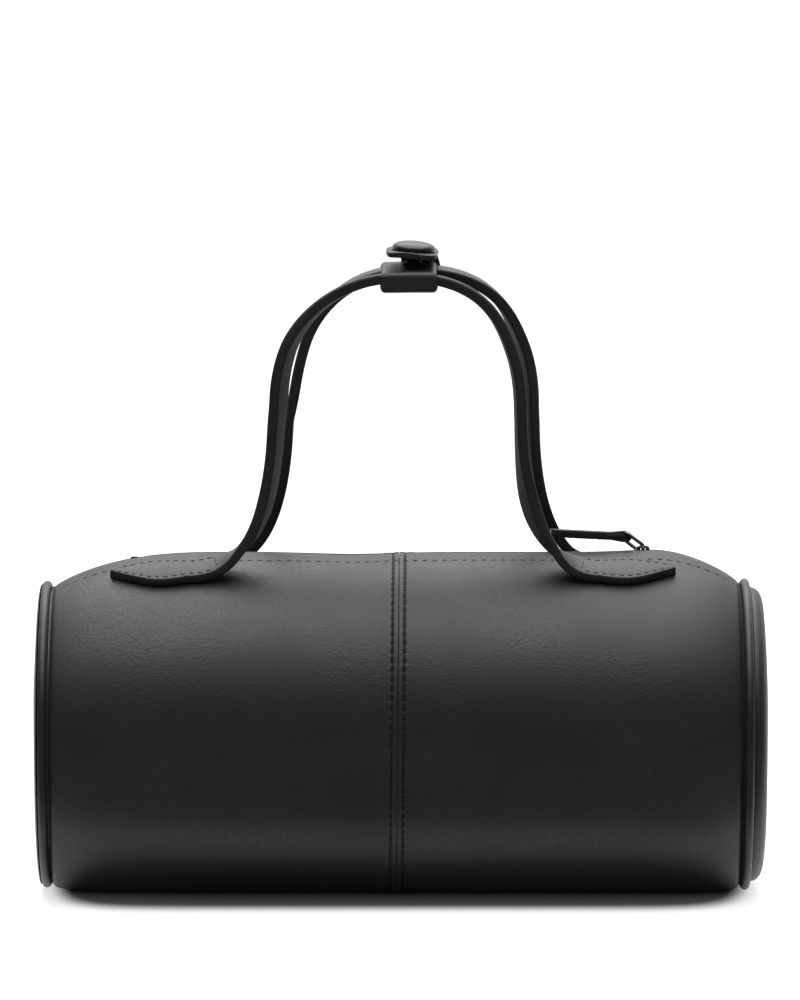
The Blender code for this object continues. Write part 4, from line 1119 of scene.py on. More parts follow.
class BARREL_OT_lining(Operator):
    """Make the lining, the tape behind the centre seam and the finish of the hidden boards"""
    bl_idname = "barrel_bag.lining"
    bl_label = "Lining"

    def execute(self, context):
        reach = BODY_HALF_LENGTH - GAP
        x = np.linspace(-reach, reach, 61)[:, None]
        start = np.arcsin((WINDOW_HALF_WIDTH + GAP) / section(x)[0])
        angle = start + (2 * math.pi - 2 * start) * np.linspace(0.0, 1.0, 97)[None, :]
        slack = 0.0003 * np.sin(95.0 * x) * np.sin(7.0 * angle) * np.sin(angle / 2) ** 2
        angle = angle - ZIP_ROLL
        sleeve = layer(skin(x, angle, LINING_DEPTH, slack), skin(x, angle, LINING_DEPTH + LINING, slack))
        item = add_piece("lining_sleeve", [sleeve], [lining_cloth()], ("lining_body",))
        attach(item, "bag")
        radius = END_RADIUS - LINING_DEPTH - LINING - GAP
        profile = [(radius * 0.02, 0.0), (radius * 0.5, 0.0002), (radius, 0.0), (radius, LINING)]
        profile += [(radius * 0.5, LINING + 0.0002), (radius * 0.02, LINING)]
        for word, side in SIDES:
            turn = Matrix.Rotation(math.radians(90.0 * side), 4, "Y")
            spot = Matrix.Translation((side * (BODY_HALF_LENGTH - LINING), 0.0, END_CENTRE_Z)) @ turn
            item = add_piece(f"lining_round_{word}", [turned(profile, 72, spot)], [lining_cloth()],
                             (f"lining_end_{word}",))
            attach(item, "bag")
        half = SEAM_TAPE_WIDTH / 2
        x = np.linspace(-half, half, 9)[:, None]
        start = math.asin((TAPE_HALF_WIDTH + GAP) / BODY_RADIUS)
        angle = np.linspace(start, 2 * math.pi - start, 97)[None, :] - ZIP_ROLL
        band = layer(skin(x, angle, TAPE_DEPTH), skin(x, angle, TAPE_DEPTH + SEAM_TAPE))
        item = add_piece("seam_tape_band", [band], [tape_cloth()], ("center_seam_tape",))
        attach(item, "bag")
        for node in ("body_stiffener", "end_board_left", "end_board_right"):
            repaint(node, board_finish())
        return {"FINISHED"}


def repaint(node, finish):
    """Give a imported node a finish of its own."""
    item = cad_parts.get(node)
    if item is None:
        raise RuntimeError(f"the frame has no node {node}")
    if not item.material_slots:
        item.data.materials.append(finish)
    for place in item.material_slots:
        place.material = finish


class BARREL_OT_round_ends(Operator):
    """Make the domed ends and the piping round them"""
    bl_idname = "barrel_bag.round_ends"
    bl_label = "Round ends"

    def execute(self, context):
        rim = 1.0 - 0.10 * np.linspace(0.93, 0.0, 16) ** 1.6
        marks = np.concatenate((np.linspace(0.015, 0.90, 22), rim))
        turn = full_turn(128)[None, :]
        calm = (smooth(marks, 0.0, 0.35) - smooth(marks, 0.72, 0.99))[:, None]
        for word, side in SIDES:
            shift = END_SHIFT[side]
            radius = ((END_RADIUS - GAP - END_INSET[side]) * marks)[:, None]
            crown = np.sqrt(np.maximum(0.0, 1.0 - marks ** END_FULLNESS[side]))[:, None]
            waves = np.sin(2.0 * turn + 0.6) * np.sin(60.0 * radius)
            waves = waves + 0.5 * np.sin(5.0 * turn + 90.0 * radius)
            height = (END_DOME - shift) * crown - END_WAVE * calm * (1.0 + waves)
            under = np.maximum(height - LEATHER, 0.0)
            outer = end_points(side, RIM_X + shift, radius, turn, height)
            inner = end_points(side, RIM_X + shift, radius - LEATHER * marks[:, None], turn, under)
            rings = np.concatenate((outer, inner[::-1]))
            item = add_piece(f"end_dome_{word}", [hose(rings)], [body_end_leather()],
                             (f"end_panel_{word}",))
            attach(item, "bag")
            bead = full_turn(18)[:, None]
            around = full_turn(200)[None, :]
            gather = 1.0 + 0.012 * np.sin(61.0 * around + 2.0 * bead) + 0.010 * np.sin(23.0 * around)
            half = PIPING_DIAMETER / 2 * gather
            reach = float(section(skin_end(side))[0]) - END_RADIUS + PIPING_RING + half * np.cos(bead)
            rings = end_points(side, PIPING_X + shift, reach, around, half * np.sin(bead))
            item = add_piece(f"piping_bead_{word}", [hose(rings.swapaxes(0, 1), closed=True)],
                             [piping_leather()], (f"piping_{word}",))
            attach(item, "bag")
        return {"FINISHED"}


def body_end_leather():
    """Leather of the round ends, like the barrel's but without its needle holes."""
    return leather_finish("end_leather_finish", bag().leather.colour, specular=0.50, evenness=0.30)


def end_points(side, x, radius, turn, height):
    """Return points on one end from their radius, angle and height over its plane."""
    return spread(side * (x + height), radius * np.sin(turn), END_CENTRE_Z + radius * np.cos(turn))


class BARREL_OT_zip_covers(Operator):
    """Make the leather that closes the window past both ends of the zip"""
    bl_idname = "barrel_bag.zip_covers"
    bl_label = "Zip end covers"

    def execute(self, context):
        half = WINDOW_HALF_WIDTH - GAP
        for word, side in SIDES:
            far = np.linspace(COVER_START + 0.003, float(skin_end(side)), 18)
            x = side * np.concatenate((COVER_START + graded(0.0020, 9, 1.5), far))[:, None]
            across = np.linspace(-1.0, 1.0, 21)[None, :]
            angle = np.arcsin(half / section(x)[0]) * across - ZIP_ROLL
            edge = (1.0 - np.abs(across)) * half
            relief = -0.0003 - rolled(edge, 0.0006) - rolled(np.abs(x) - COVER_START, 0.0006)
            relief = np.maximum(relief - tucked(skin_end(x) - np.abs(x)), -MOST_RELIEF)
            sheet = layer(skin(x, angle, 0.0, relief), skin(x, angle, LEATHER))
            item = add_piece(f"zip_cover_{word}", [sheet], [body_end_leather()],
                             (f"zip_end_cover_{word}",))
            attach(item, "bag")
        return {"FINISHED"}


class BARREL_OT_barrel_stitching(Operator):
    """Sew the centre seam and the edges beside the zip"""
    bl_idname = "barrel_bag.barrel_stitching"
    bl_label = "Barrel stitching"

    def execute(self, context):
        own = bag().stitch
        start = math.asin(WINDOW_HALF_WIDTH / BODY_RADIUS)
        depth = bag().barrel.furrow * 0.75
        parts = []
        for beside in (-1, 1):
            for half in (1, -1):
                turn = np.linspace(half * start - ZIP_ROLL, half * SEAM_STITCH_END, 400)
                gap = np.full_like(turn, SEAM_STITCH_INSET)
                x = seam_place(turn) + beside * SEAM_STITCH_INSET
                relief = panel_relief(x, turn, gap) + 0.25 * depth
                line = skin(x, turn, 0.0, relief)
                parts += thread_run(line, outward(turn), own.pitch, own.thread)
        item = add_piece("stitching_centre_seam", parts, [thread_finish()])
        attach(item, "bag")
        parts = []
        reach = ZIP_STITCH_START + own.pitch * 0.02
        x = np.linspace(-reach, reach, 500)
        for half in (1, -1):
            turn = half * ZIP_STITCH_ANGLE - ZIP_ROLL + 0.0 * x
            relief = panel_relief(x, turn, np.abs(x - SEAM_TOP_X))
            line = skin(x, turn, 0.0, relief)
            parts += thread_run(line, outward(turn), own.pitch, own.thread * 0.65)
        item = add_piece("stitching_zip_edges", parts, [thread_finish()])
        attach(item, "bag")
        return {"FINISHED"}


# Handles

def tab_half_width(share):
    """Return half the petal's width; 0 is its neck and 1 its pointed tip."""
    share = np.asarray(share, float)
    swell = np.sin(math.pi / 2 * np.minimum(1.0, share / TAB_WIDEST))
    neck = STRAP_WIDTH / 2 + (TAB_HALF_WIDTH - STRAP_WIDTH / 2) * swell
    taper = np.maximum(0.0, (share - TAB_WIDEST) / (1.0 - TAB_WIDEST)) ** TAB_TAPER
    tip = TAB_TIP_HALF_WIDTH + (TAB_HALF_WIDTH - TAB_TIP_HALF_WIDTH) * (1.0 - taper)
    return np.where(share < TAB_WIDEST, neck, tip)


def foot_angle(side):
    """Return the skin's angle at a handle's feet; both stand equally far from the zip."""
    return side * FOOT_SPREAD - ZIP_ROLL


def foot_point(x, side):
    """Return where a strap's centre lies on the barrel at its foot."""
    return Vector(skin(x, foot_angle(side), -(GAP + TAB_THICKNESS / 2)).tolist())


def leg_of(end):
    """Return the place of a leg's values in a pair: 0 for the left leg, 1 for the right one."""
    return 0 if end < 0 else 1


def arch_point(share):
    """Return (distance from the middle, height) on the arch; 0 is its base, 1 its top."""
    angle = share * math.pi / 2
    bend = 2.0 / ARCH_POWER
    out = ARCH_HALF_SPAN * max(0.0, math.cos(angle)) ** bend
    return out, ARCH_BASE + (ARCH_TOP - ARCH_BASE) * math.sin(angle) ** bend


def flare_point(share, end, foot_z):
    """Return (distance from the middle, height) on the flare; 0 is the arch, 1 the foot."""
    leg = leg_of(end)
    knots = ((ARCH_HALF_SPAN, ARCH_BASE), (ARCH_HALF_SPAN, ARCH_BASE - FLARE_UPPER_PULLS[leg]),
             (FOOT_HALF_SPAN - FLARE_LOWER_PULLS[leg], foot_z), (FOOT_HALF_SPAN, foot_z))
    rest = 1.0 - share
    weights = (rest ** 3, 3 * rest ** 2 * share, 3 * rest * share ** 2, share ** 3)
    out = sum(weight * knot[0] for weight, knot in zip(weights, knots))
    return out, sum(weight * knot[1] for weight, knot in zip(weights, knots))


def foot_shift(handle, end):
    """Return how far both feet of a handle sit to the right of their even places."""
    return handle["foot"][leg_of(end)]


def strap_frame(handle, end, out, z):
    """Return the strap's centre and its width direction at one place on a leg."""
    side = handle["side"]
    shift = foot_shift(handle, end)
    foot = foot_point(shift + end * FOOT_HALF_SPAN, side)
    rise = min(1.0, max(0.0, (z - foot.z) / (ARCH_TOP - foot.z)))
    lower = min(1.0, max(0.0, (z - foot.z) / (ARCH_BASE - foot.z)))
    middle = shift + (handle["arch"] - shift) * lower
    middle += CREST_SHIFT * float(smooth(z, ARCH_BASE + 0.018, ARCH_TOP))
    y = foot.y + (-side * STRAP_SPACING / 2 - foot.y) * rise
    leg = leg_of(end)
    twist = handle["twist"][leg] * math.sin(math.pi * rise ** handle["peak"])
    twist = math.radians(twist + handle["low_twist"][leg] * float(bell(rise - 0.20, 0.16)))
    lean = handle["lean"][leg] * math.sin(math.pi * max(0.0, 2.0 * rise - 1.0))
    first, second = handle["roll"]
    roll = (first + second) / 2 + (second - first) / 2 * min(1.0, max(-1.0, end * out / ARCH_HALF_SPAN))
    roll = math.radians(roll) * float(smooth(rise, 0.55, 0.90))
    slope = foot_angle(side)
    flat = Vector((0.0, math.cos(slope), math.sin(slope)))
    upright = Vector((-end * math.sin(twist), math.cos(twist), -math.sin(roll)))
    settle = min(1.0, rise / 0.075)
    width = flat.lerp(upright, settle * settle * (3.0 - 2.0 * settle)).normalized()
    return Vector((middle + end * (out - lean), y, z)), width


def strap_rows(handle):
    """Return the centres, width directions and half thicknesses of a strap from neck to neck."""
    legs = []
    for end in (-1, 1):
        foot_z = foot_point(foot_shift(handle, end) + end * FOOT_HALF_SPAN, handle["side"]).z
        leg = [flare_point(1.0 - k / 44, end, foot_z) for k in range(44)]
        leg += [arch_point(k / 34) for k in range(34)]
        legs.append([strap_frame(handle, end, *place) for place in leg])
    rows = legs[0] + [strap_frame(handle, 1, 0.0, ARCH_TOP)] + legs[1][::-1]
    centres = np.array([centre for centre, width in rows])
    widths = np.array([width for centre, width in rows])
    foot_z = centres[0, 2]
    grown = smooth(centres[:, 2], foot_z, foot_z + 0.013)
    reach = KEEPER_LENGTH / 2 - 0.0010
    held = 1.0 - smooth(np.abs(centres[:, 0] - KEEPER_CENTRE), reach - 0.0030, reach)
    held = held * smooth(centres[:, 2], ARCH_BASE, ARCH_BASE + 0.03)
    full = STRAP_THICKNESS - KEEPER_SQUEEZE * held
    raised = handle["raise"] * smooth(centres[:, 2], ARCH_BASE, ARCH_TOP - 0.004)
    centres[:, 2] += raised - KEEPER_SINK * held
    return centres, widths, (TAB_THICKNESS + (full - TAB_THICKNESS) * grown) / 2


def petal_rings(handle, end):
    """Return the rings of one petal from its tip to its neck, and their outward directions."""
    side = handle["side"]
    neck = foot_shift(handle, end) + end * FOOT_HALF_SPAN
    share = np.concatenate((1.0 - graded(0.10, 9, 1.3), np.linspace(0.885, 0.02, 36)))
    half_width = tab_half_width(share)
    half_thick = np.full_like(share, TAB_THICKNESS / 2)
    x = neck + end * TAB_LENGTH * share
    tip = end * np.array([0.00045, 0.00030, 0.0])
    x = np.concatenate((x[0] + tip, x[1:]))
    half_width = np.concatenate((half_width[0] * np.array([0.55, 0.85, 1.0]), half_width[1:]))
    half_thick = np.concatenate((half_thick[0] * np.array([0.55, 0.88, 1.0]), half_thick[1:]))
    share = np.concatenate(([1.0, 1.0], share))
    wide, tall = strip_section(half_width, half_thick, True)
    x = x[:, None]
    middle = foot_angle(side) - side * handle["skew"][leg_of(end)] * share ** 2 / BODY_RADIUS
    angle = middle[:, None] - wide / section(x)[0]
    base = 0.00008 + (GAP - 0.00008) * (1.0 - smooth(share, 0.0, 0.3))[:, None]
    lift = base + TAB_THICKNESS / 2 + tall + unevenness(x, angle)
    return skin(x, angle, -lift), outward(middle)


def handle_rings(handle):
    """Return the rings and outward directions of one handle from tip to tip."""
    centres, widths, half_thick = strap_rows(handle)
    strap, out = strip(centres, widths, STRAP_WIDTH / 2, half_thick)
    wide = strip_section(np.full(len(centres), STRAP_WIDTH / 2), half_thick)[0]
    lying = 1.0 - smooth(centres[:, 2], centres[0, 2], centres[0, 2] + 0.010)
    strap = strap - out[:, None, :] * (lying[:, None] * wide ** 2 / (2 * BODY_RADIUS))[:, :, None]
    left, left_out = petal_rings(handle, -1)
    right, right_out = petal_rings(handle, 1)
    rings = np.concatenate((left, strap, right[::-1]))
    return rings, np.concatenate((left_out, out, right_out[::-1])), len(left)


def petal_stitches(rings, out, rows):
    """Return the stitch lines of one petal: round its rim, over the foot and across the strap."""
    own = bag().stitch
    first, second = groove_columns(1)
    there, back = rings[rows, first], rings[rows, second]
    spread = np.linalg.norm(there - back, axis=1)
    keep = (spread > 0.0024) & (np.abs(there[:, 0]) > SEWN_FROM)
    there, back, normals = there[keep], back[keep], out[rows][keep]
    path = np.concatenate((there[::-1], back))
    lines = thread_run(path, np.concatenate((normals[::-1], normals)), own.petal_pitch, own.thread * 0.7)
    crown = 0.00022 * np.sin(np.linspace(0.0, math.pi, 12))[:, None]
    neck = np.linspace(there[-1], back[-1], 12) + crown * normals[-1]
    neck_normals = np.tile(normals[-1], (12, 1))
    return lines + thread_run(neck, neck_normals, own.petal_pitch * 0.9, own.thread * 0.7)


class BARREL_OT_handles(Operator):
    """Make both handles in one piece each, from petal to petal, and sew their petals"""
    bl_idname = "barrel_bag.handles"
    bl_label = "Handles"

    def execute(self, context):
        for word, handle in (("front", FRONT_HANDLE), ("back", BACK_HANDLE)):
            rings, out, petal = handle_rings(handle)
            stands_for = (f"handle_{word}_strap", f"handle_{word}_tab_left", f"handle_{word}_tab_right")
            finishes = [strap_leather(), edge_paint(), strap_lining()]
            item = add_piece(f"handle_{word}", [hose(rings, marks=strip_paint(2))], finishes,
                             stands_for, sharp=50.0)
            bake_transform(item)
            parts = petal_stitches(rings, out, np.arange(2, petal + 40))
            parts += petal_stitches(rings, out, np.arange(len(rings) - 3, len(rings) - petal - 41, -1))
            item = add_piece(f"stitching_petals_{word}", parts, [thread_finish()])
            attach(item, "bag")
        return {"FINISHED"}


# Keeper and snap

def arch_height(x, middle):
    """Return the height of a strap's centre line over the top of its arch."""
    share = np.minimum(1.0, np.abs(x - middle) / ARCH_HALF_SPAN)
    return ARCH_BASE + (ARCH_TOP - ARCH_BASE) * (1.0 - share ** ARCH_POWER) ** (1.0 / ARCH_POWER)


def keeper_height(x):
    """Return the height midway between both straps, which the keeper follows."""
    return (arch_height(x, FRONT_HANDLE["arch"]) + arch_height(x, BACK_HANDLE["arch"])) / 2


def snap_heights():
    """Return the heights of the keeper's top, the flap's underside and the flap's top."""
    keeper_top = float(keeper_height(SNAP_CENTRE)) + KEEPER_INNER + KEEPER_WALL
    tilt_room = FLAP_TILT_REACH * math.sin(FLAP_TILT)
    under = keeper_top + GAP + STUD_FLANGE + GAP + SOCKET_HEIGHT + GAP + tilt_room
    return keeper_top, under, under + FLAP_THICKNESS


def tilted():
    """Return the small roll of the flap and its snap about the snap's centre."""
    middle = Vector((SNAP_CENTRE, 0.0, snap_heights()[1]))
    return Matrix.Translation(middle) @ Matrix.Rotation(FLAP_TILT, 4, "Y") @ Matrix.Translation(-middle)


def rounded_loop(half_depth, half_height, radius, steps=8, side_steps=6):
    """Return a closed rounded rectangle of (y, z) points."""
    points = []
    corners = ((1, 1, 0.0), (-1, 1, 90.0), (-1, -1, 180.0), (1, -1, 270.0))
    for y_side, z_side, first in corners:
        for k in range(steps + 1):
            angle = math.radians(first + 90.0 * k / steps)
            y = y_side * (half_depth - radius) + radius * math.cos(angle)
            points.append((y, z_side * (half_height - radius) + radius * math.sin(angle)))
        if z_side > 0 and y_side > 0 or z_side < 0 and y_side < 0:
            step = -2.0 * y_side * (half_depth - radius) / (side_steps + 1)
            last = points[-1]
            points += [(last[0] + step * n, last[1]) for n in range(1, side_steps + 1)]
    return points


class BARREL_OT_keeper(Operator):
    """Make the leather band that holds both straps at the top"""
    bl_idname = "barrel_bag.keeper"
    bl_label = "Keeper"

    def execute(self, context):
        half_depth = KEEPER_HALF_DEPTH + KEEPER_WALL / 2
        half_height = KEEPER_INNER + KEEPER_WALL / 2 - 0.0001
        loop = rounded_loop(half_depth, half_height, 0.0015)
        path = np.array([(KEEPER_CENTRE, y, z) for y, z in loop])
        rings = strip(path, (1.0, 0.0, 0.0), KEEPER_LENGTH / 2, KEEPER_WALL / 2, closed=True)[0]
        x, y, z = rings[..., 0], rings[..., 1], rings[..., 2]
        belly = 0.0003 * np.cos(math.pi * (x - KEEPER_CENTRE) / KEEPER_LENGTH)
        share = np.minimum(1.0, np.abs(z) / (half_height + KEEPER_WALL / 2))
        narrow = 1.0 - KEEPER_CORNER * (1.0 - np.sqrt(1.0 - share ** 2))
        x = KEEPER_CENTRE + (x - KEEPER_CENTRE) * narrow
        y = y + np.sign(y) * belly * smooth(np.abs(y), 0.6 * half_depth, half_depth)
        z = z + 0.00010 * np.sin(260.0 * x) * smooth(np.abs(z), 0.001, half_height)
        z = z + KEEPER_LEVEL + KEEPER_RISE * smooth(y, -half_depth, half_depth)
        rings = np.stack((x, y, z), axis=-1)
        item = add_piece("keeper_sleeve", [hose(rings, True)], [strap_leather()],
                         ("keeper_band",), sharp=50.0)
        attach(item, "handles")
        return {"FINISHED"}


def flap_path():
    """Return the flap's centre line as (y, z): up the keeper's back, over and forward to its tip."""
    keeper_top, under, over = snap_heights()
    middle_z = (under + over) / 2
    axis_z = keeper_top - FLAP_THICKNESS
    foot_y = KEEPER_HALF_DEPTH + KEEPER_WALL + FLAP_THICKNESS / 2 + 0.0003
    points = [(foot_y, axis_z - 0.0042 + 0.0007 * k) for k in range(6)]
    bend_z = middle_z - FLAP_BEND
    points += [(FLAP_AXIS_Y, axis_z + (bend_z - axis_z) * k / 5) for k in range(5)]
    for k in range(13):
        angle = math.radians(7.5 * k)
        y = FLAP_AXIS_Y - FLAP_BEND + FLAP_BEND * math.cos(angle)
        points.append((y, bend_z + FLAP_BEND * math.sin(angle)))
    start = FLAP_AXIS_Y - FLAP_BEND
    level = np.linspace(start, FLAP_CORNER - FLAP_REACH, 16)[1:]
    points += [(y, middle_z) for y in level]
    for k in range(1, 13):
        rest = 1.0 - math.sin(math.pi / 2 * k / 12)
        points.append((-FLAP_REACH + FLAP_CORNER * rest, middle_z))
    return np.array(points), axis_z


class BARREL_OT_keeper_flap(Operator):
    """Make the flap that folds over the keeper from its back, sewn down at its foot"""
    bl_idname = "barrel_bag.keeper_flap"
    bl_label = "Keeper flap"

    def execute(self, context):
        own = bag().stitch
        places, axis_z = flap_path()
        near = np.maximum(0.0, FLAP_CORNER - FLAP_REACH - places[:, 0])
        half = FLAP_HALF_WIDTH - FLAP_CORNER + np.sqrt(np.maximum(0.0, FLAP_CORNER ** 2 - near ** 2))
        behind = smooth(places[:, 0], FLAP_AXIS_Y - 0.0075, FLAP_AXIS_Y - 0.0010)
        below = 1.0 - smooth(places[:, 1], axis_z - 0.0015, axis_z + 0.0045)
        half = half - FLAP_NARROW * behind * (1.0 - 0.25 * below)
        aside = FLAP_CENTRE + FLAP_ASIDE * behind * (1.0 + 0.35 * below)
        path = np.column_stack((aside, places))
        rings = self.settle(strip(path, (1.0, 0.0, 0.0), half, FLAP_THICKNESS / 2)[0], axis_z)
        level = behind < 0.5
        under = path[level] - (0.0, 0.0, (FLAP_THICKNESS + FLAP_LINING) / 2 - 0.0001)
        lining = strip(under, (1.0, 0.0, 0.0), half[level] - 0.0005, FLAP_LINING / 2)[0]
        lining = hose(self.settle(lining, axis_z), marks=1)
        item = add_piece("keeper_flap_strip", [hose(rings, marks=strip_paint()), lining],
                         [strap_leather(), edge_paint()], ("keeper_flap",), sharp=50.0)
        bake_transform(item)
        across = np.linspace(-0.72, 0.72, 20) * (FLAP_HALF_WIDTH - FLAP_NARROW)
        behind_y = places[0, 0] + FLAP_THICKNESS / 2
        foot = spread(FLAP_CENTRE + FLAP_ASIDE * 1.35 + across, behind_y, axis_z - 0.0026)
        normals = np.tile((0.0, 1.0, 0.0), (20, 1))
        parts = thread_run(self.settle(foot, axis_z), normals, own.petal_pitch * 0.9, own.thread)
        item = add_piece("stitching_flap_foot", parts, [thread_finish()])
        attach(item, "handles")
        return {"FINISHED"}

    @staticmethod
    def settle(points, axis_z):
        """Roll the flap about the snap and let its back sit a little to the right."""
        weight = smooth(points[..., 2:3], axis_z - 0.001, axis_z + 0.005)
        points = points + (moved(points, tilted()) - points) * weight
        aside = 0.0016 * smooth(points[..., 1], 0.002, FLAP_AXIS_Y)
        wave = 0.00018 * np.sin(420.0 * points[..., 0] + 0.8) * smooth(-points[..., 1], 0.005, FLAP_REACH)
        return points + np.stack((aside, 0.0 * aside, wave), axis=-1)


def dome_profile(radius, rim, height):
    """Return the (radius, height) outline of a domed cap over its rolled rim."""
    rise = [math.pi / 2 * k / 18 for k in range(18)]
    return [(radius * math.cos(a) ** 0.86, rim + (height - rim) * math.sin(a) ** 0.92) for a in rise]


def shank_profile(ply):
    """Return the (radius, height) outline of a rivet's shank through one ply."""
    length = ply + GAP
    return [(NEAR_AXIS, -length), (RIVET_RADIUS, -length), (RIVET_RADIUS, 0.0)]


class BARREL_OT_snap(Operator):
    """Make the snap: its cap and socket on the flap, its stud on the keeper"""
    bl_idname = "barrel_bag.snap"
    bl_label = "Snap"

    def execute(self, context):
        keeper_top, under, over = snap_heights()
        shank = shank_profile(FLAP_THICKNESS)
        rim = [(CAP_RADIUS * 0.90, 0.0), (CAP_RADIUS * 0.96, 0.00008), (CAP_RADIUS * 0.99, 0.00028)]
        dome = dome_profile(CAP_RADIUS, CAP_RIM * 0.55, CAP_HEIGHT)
        spot = tilted() @ Matrix.Translation((SNAP_CENTRE, 0.0, over + SNAP_SLIT))
        cap = turned(shank + rim + dome + [(NEAR_AXIS, CAP_HEIGHT)], 80, spot)
        item = add_piece("snap_dome", [cap], [cap_enamel()], ("snap_cap",), sharp=38.0)
        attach(item, "flap")
        mouth, depth = STUD_RADIUS + 0.0006, STUD_HEIGHT - STUD_FLANGE + GAP
        edge = 0.00035
        ring = [(NEAR_AXIS, SOCKET_HEIGHT), (SOCKET_RADIUS - edge, SOCKET_HEIGHT)]
        ring += [(SOCKET_RADIUS, SOCKET_HEIGHT - edge), (SOCKET_RADIUS, SOCKET_HEIGHT * 0.45)]
        ring += [(SOCKET_RADIUS * 0.95, SOCKET_HEIGHT * 0.22), (SOCKET_RADIUS * 0.86, 0.00012)]
        ring += [(SOCKET_RADIUS * 0.80, 0.0), (mouth + edge, 0.0), (mouth, edge)]
        ring += [(mouth, depth), (NEAR_AXIS, depth)]
        spot = tilted() @ Matrix.Translation((SNAP_CENTRE, 0.0, under - SNAP_SLIT - SOCKET_HEIGHT))
        item = add_piece("snap_ring", [turned(ring, 64, spot)], [snap_metal()],
                         ("snap_socket",))
        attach(item, "flap")
        stud = shank_profile(KEEPER_WALL)
        stud += [(STUD_FLANGE_RADIUS - edge, 0.0), (STUD_FLANGE_RADIUS, edge)]
        stud += [(STUD_FLANGE_RADIUS - edge, STUD_FLANGE), (STUD_RADIUS * 0.86, STUD_FLANGE + 0.0001)]
        for k in range(9):
            angle = math.radians(-40.0 + 130.0 * k / 8)
            radius = STUD_RADIUS * (0.70 + 0.30 * math.cos(angle))
            stud.append((radius, (STUD_FLANGE + STUD_HEIGHT) / 2 + 0.00075 * math.sin(angle)))
        spot = Matrix.Translation((SNAP_CENTRE, 0.0, keeper_top + SNAP_SLIT))
        post = turned(stud + [(NEAR_AXIS, STUD_HEIGHT)], 64, spot)
        item = add_piece("snap_post", [post], [snap_metal()], ("snap_stud",))
        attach(item, "handles")
        return {"FINISHED"}


# Zip

def tape_height(x, y):
    """Return the height of a tape's middle: level beside the teeth, then under the leather."""
    radius, centre = section(x)
    drop = np.sqrt(radius ** 2 - y ** 2)
    under = centre + drop - (TAPE_DEPTH + TAPE / 2) * radius / drop
    share = smooth(y, SLIDER_HALF_WIDTH + GAP, WINDOW_HALF_WIDTH + 0.0012)
    return CHAIN_MID + (np.minimum(under, CHAIN_MID + 0.004) - CHAIN_MID) * share


def laid_back(item):
    """Turn a piece of the zip about the barrel's axis to where the zip lies."""
    item.data.transform(ZIP_TURN)
    return item


class BARREL_OT_zip_tapes(Operator):
    """Make both woven tapes with the bead along their inner edge"""
    bl_idname = "barrel_bag.zip_tapes"
    bl_label = "Zip tapes"

    def execute(self, context):
        reach = ZIP_HALF_LENGTH + GAP + STOP_LENGTH
        x = np.linspace(-reach, reach, 121)[:, None]
        bead_start = CHAIN_HALF_WIDTH - 0.0010
        cloth = np.linspace(0.0032, TAPE_HALF_WIDTH, 22)
        y = np.concatenate((bead_start + graded(0.0012, 10, 1.0), cloth))[None, :]
        inside = np.clip((y - bead_start - 0.0005) / 0.0006, -1.0, 1.0)
        half = TAPE / 2 + 0.00045 * np.sqrt(np.maximum(0.0, 1.0 - inside ** 2))
        height = tape_height(x, y)
        for word, side in ZIP_SIDES:
            sheet = layer(spread(x, side * y, height + half), spread(x, side * y, height - half))
            item = add_piece(f"woven_tape_{word}", [sheet], [tape_cloth()],
                             (f"zip_tape_{word}",))
            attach(laid_back(item), "bag")
        return {"FINISHED"}


class BARREL_OT_zip_chain(Operator):
    """Make the interlocking teeth, clamped on their tapes, and the stops"""
    bl_idname = "barrel_bag.zip_chain"
    bl_label = "Zip chain"

    def execute(self, context):
        # Of a tooth: (reach across the chain, share of half its width, share of half its thickness)
        sections = ((-0.00042, 0.22, 0.45), (-0.00034, 0.40, 0.66), (-0.00010, 0.56, 0.86),
                    (0.00025, 0.60, 0.94), (0.00060, 0.50, 0.96), (0.00095, 0.42, 0.92),
                    (0.00125, 0.58, 0.98), (0.00150, 0.84, 1.0), (0.00215, 0.90, 1.0),
                    (0.00245, 0.84, 0.94), (0.00258, 0.66, 0.80))
        reach, wide, tall = np.array(sections).T
        wide = wide * TOOTH_WIDTH / 2 * 1.1
        tall = tall * TOOTH_THICKNESS / 2
        count = int((2 * ZIP_HALF_LENGTH - TOOTH_PITCH) / TOOTH_PITCH)
        for word, side, shift in (("front", -1, 0.2), ("back", 1, 0.7)):
            parts = []
            for k in range(count):
                x = -ZIP_HALF_LENGTH + TOOTH_PITCH * (k + shift) + TOOTH_WIDTH / 2
                path = spread(x, side * reach, CHAIN_MID)
                parts.append(swept(path, (1.0, 0.0, 0.0), wide, tall, 0.55, 14))
            item = add_piece(f"zip_row_{word}", parts, [zip_metal()], (f"zip_teeth_{word}",))
            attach(laid_back(item), "bag")
        start, half = ZIP_HALF_LENGTH + GAP, TOOTH_THICKNESS / 2
        bend = np.linspace(-1.0, 1.0, 13)
        path = spread(-start - STOP_LENGTH / 2, CHAIN_HALF_WIDTH * bend * 0.9,
                      CHAIN_MID - 0.0001 * bend ** 2)
        item = add_piece("zip_stop_bottom", [swept(path, (1.0, 0.0, 0.0), STOP_LENGTH / 2, half, 0.45, 18)],
                         [zip_metal()], ("zip_bottom_stop",))
        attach(laid_back(item), "bag")
        middle = (CHAIN_HALF_WIDTH + 0.00055) / 2
        reach = (CHAIN_HALF_WIDTH - 0.00055) / 2
        bend = np.linspace(-1.0, 1.0, 9)
        waist = STOP_LENGTH / 2 * (0.86 + 0.14 * bend ** 2)
        for word, side in ZIP_SIDES:
            path = spread(start + STOP_LENGTH / 2, side * (middle + reach * bend), CHAIN_MID)
            item = add_piece(f"zip_stop_{word}", [swept(path, (1.0, 0.0, 0.0), waist, half, 0.45, 18)],
                             [zip_metal()], (f"zip_top_stop_{word}",))
            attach(laid_back(item), "bag")
        return {"FINISHED"}


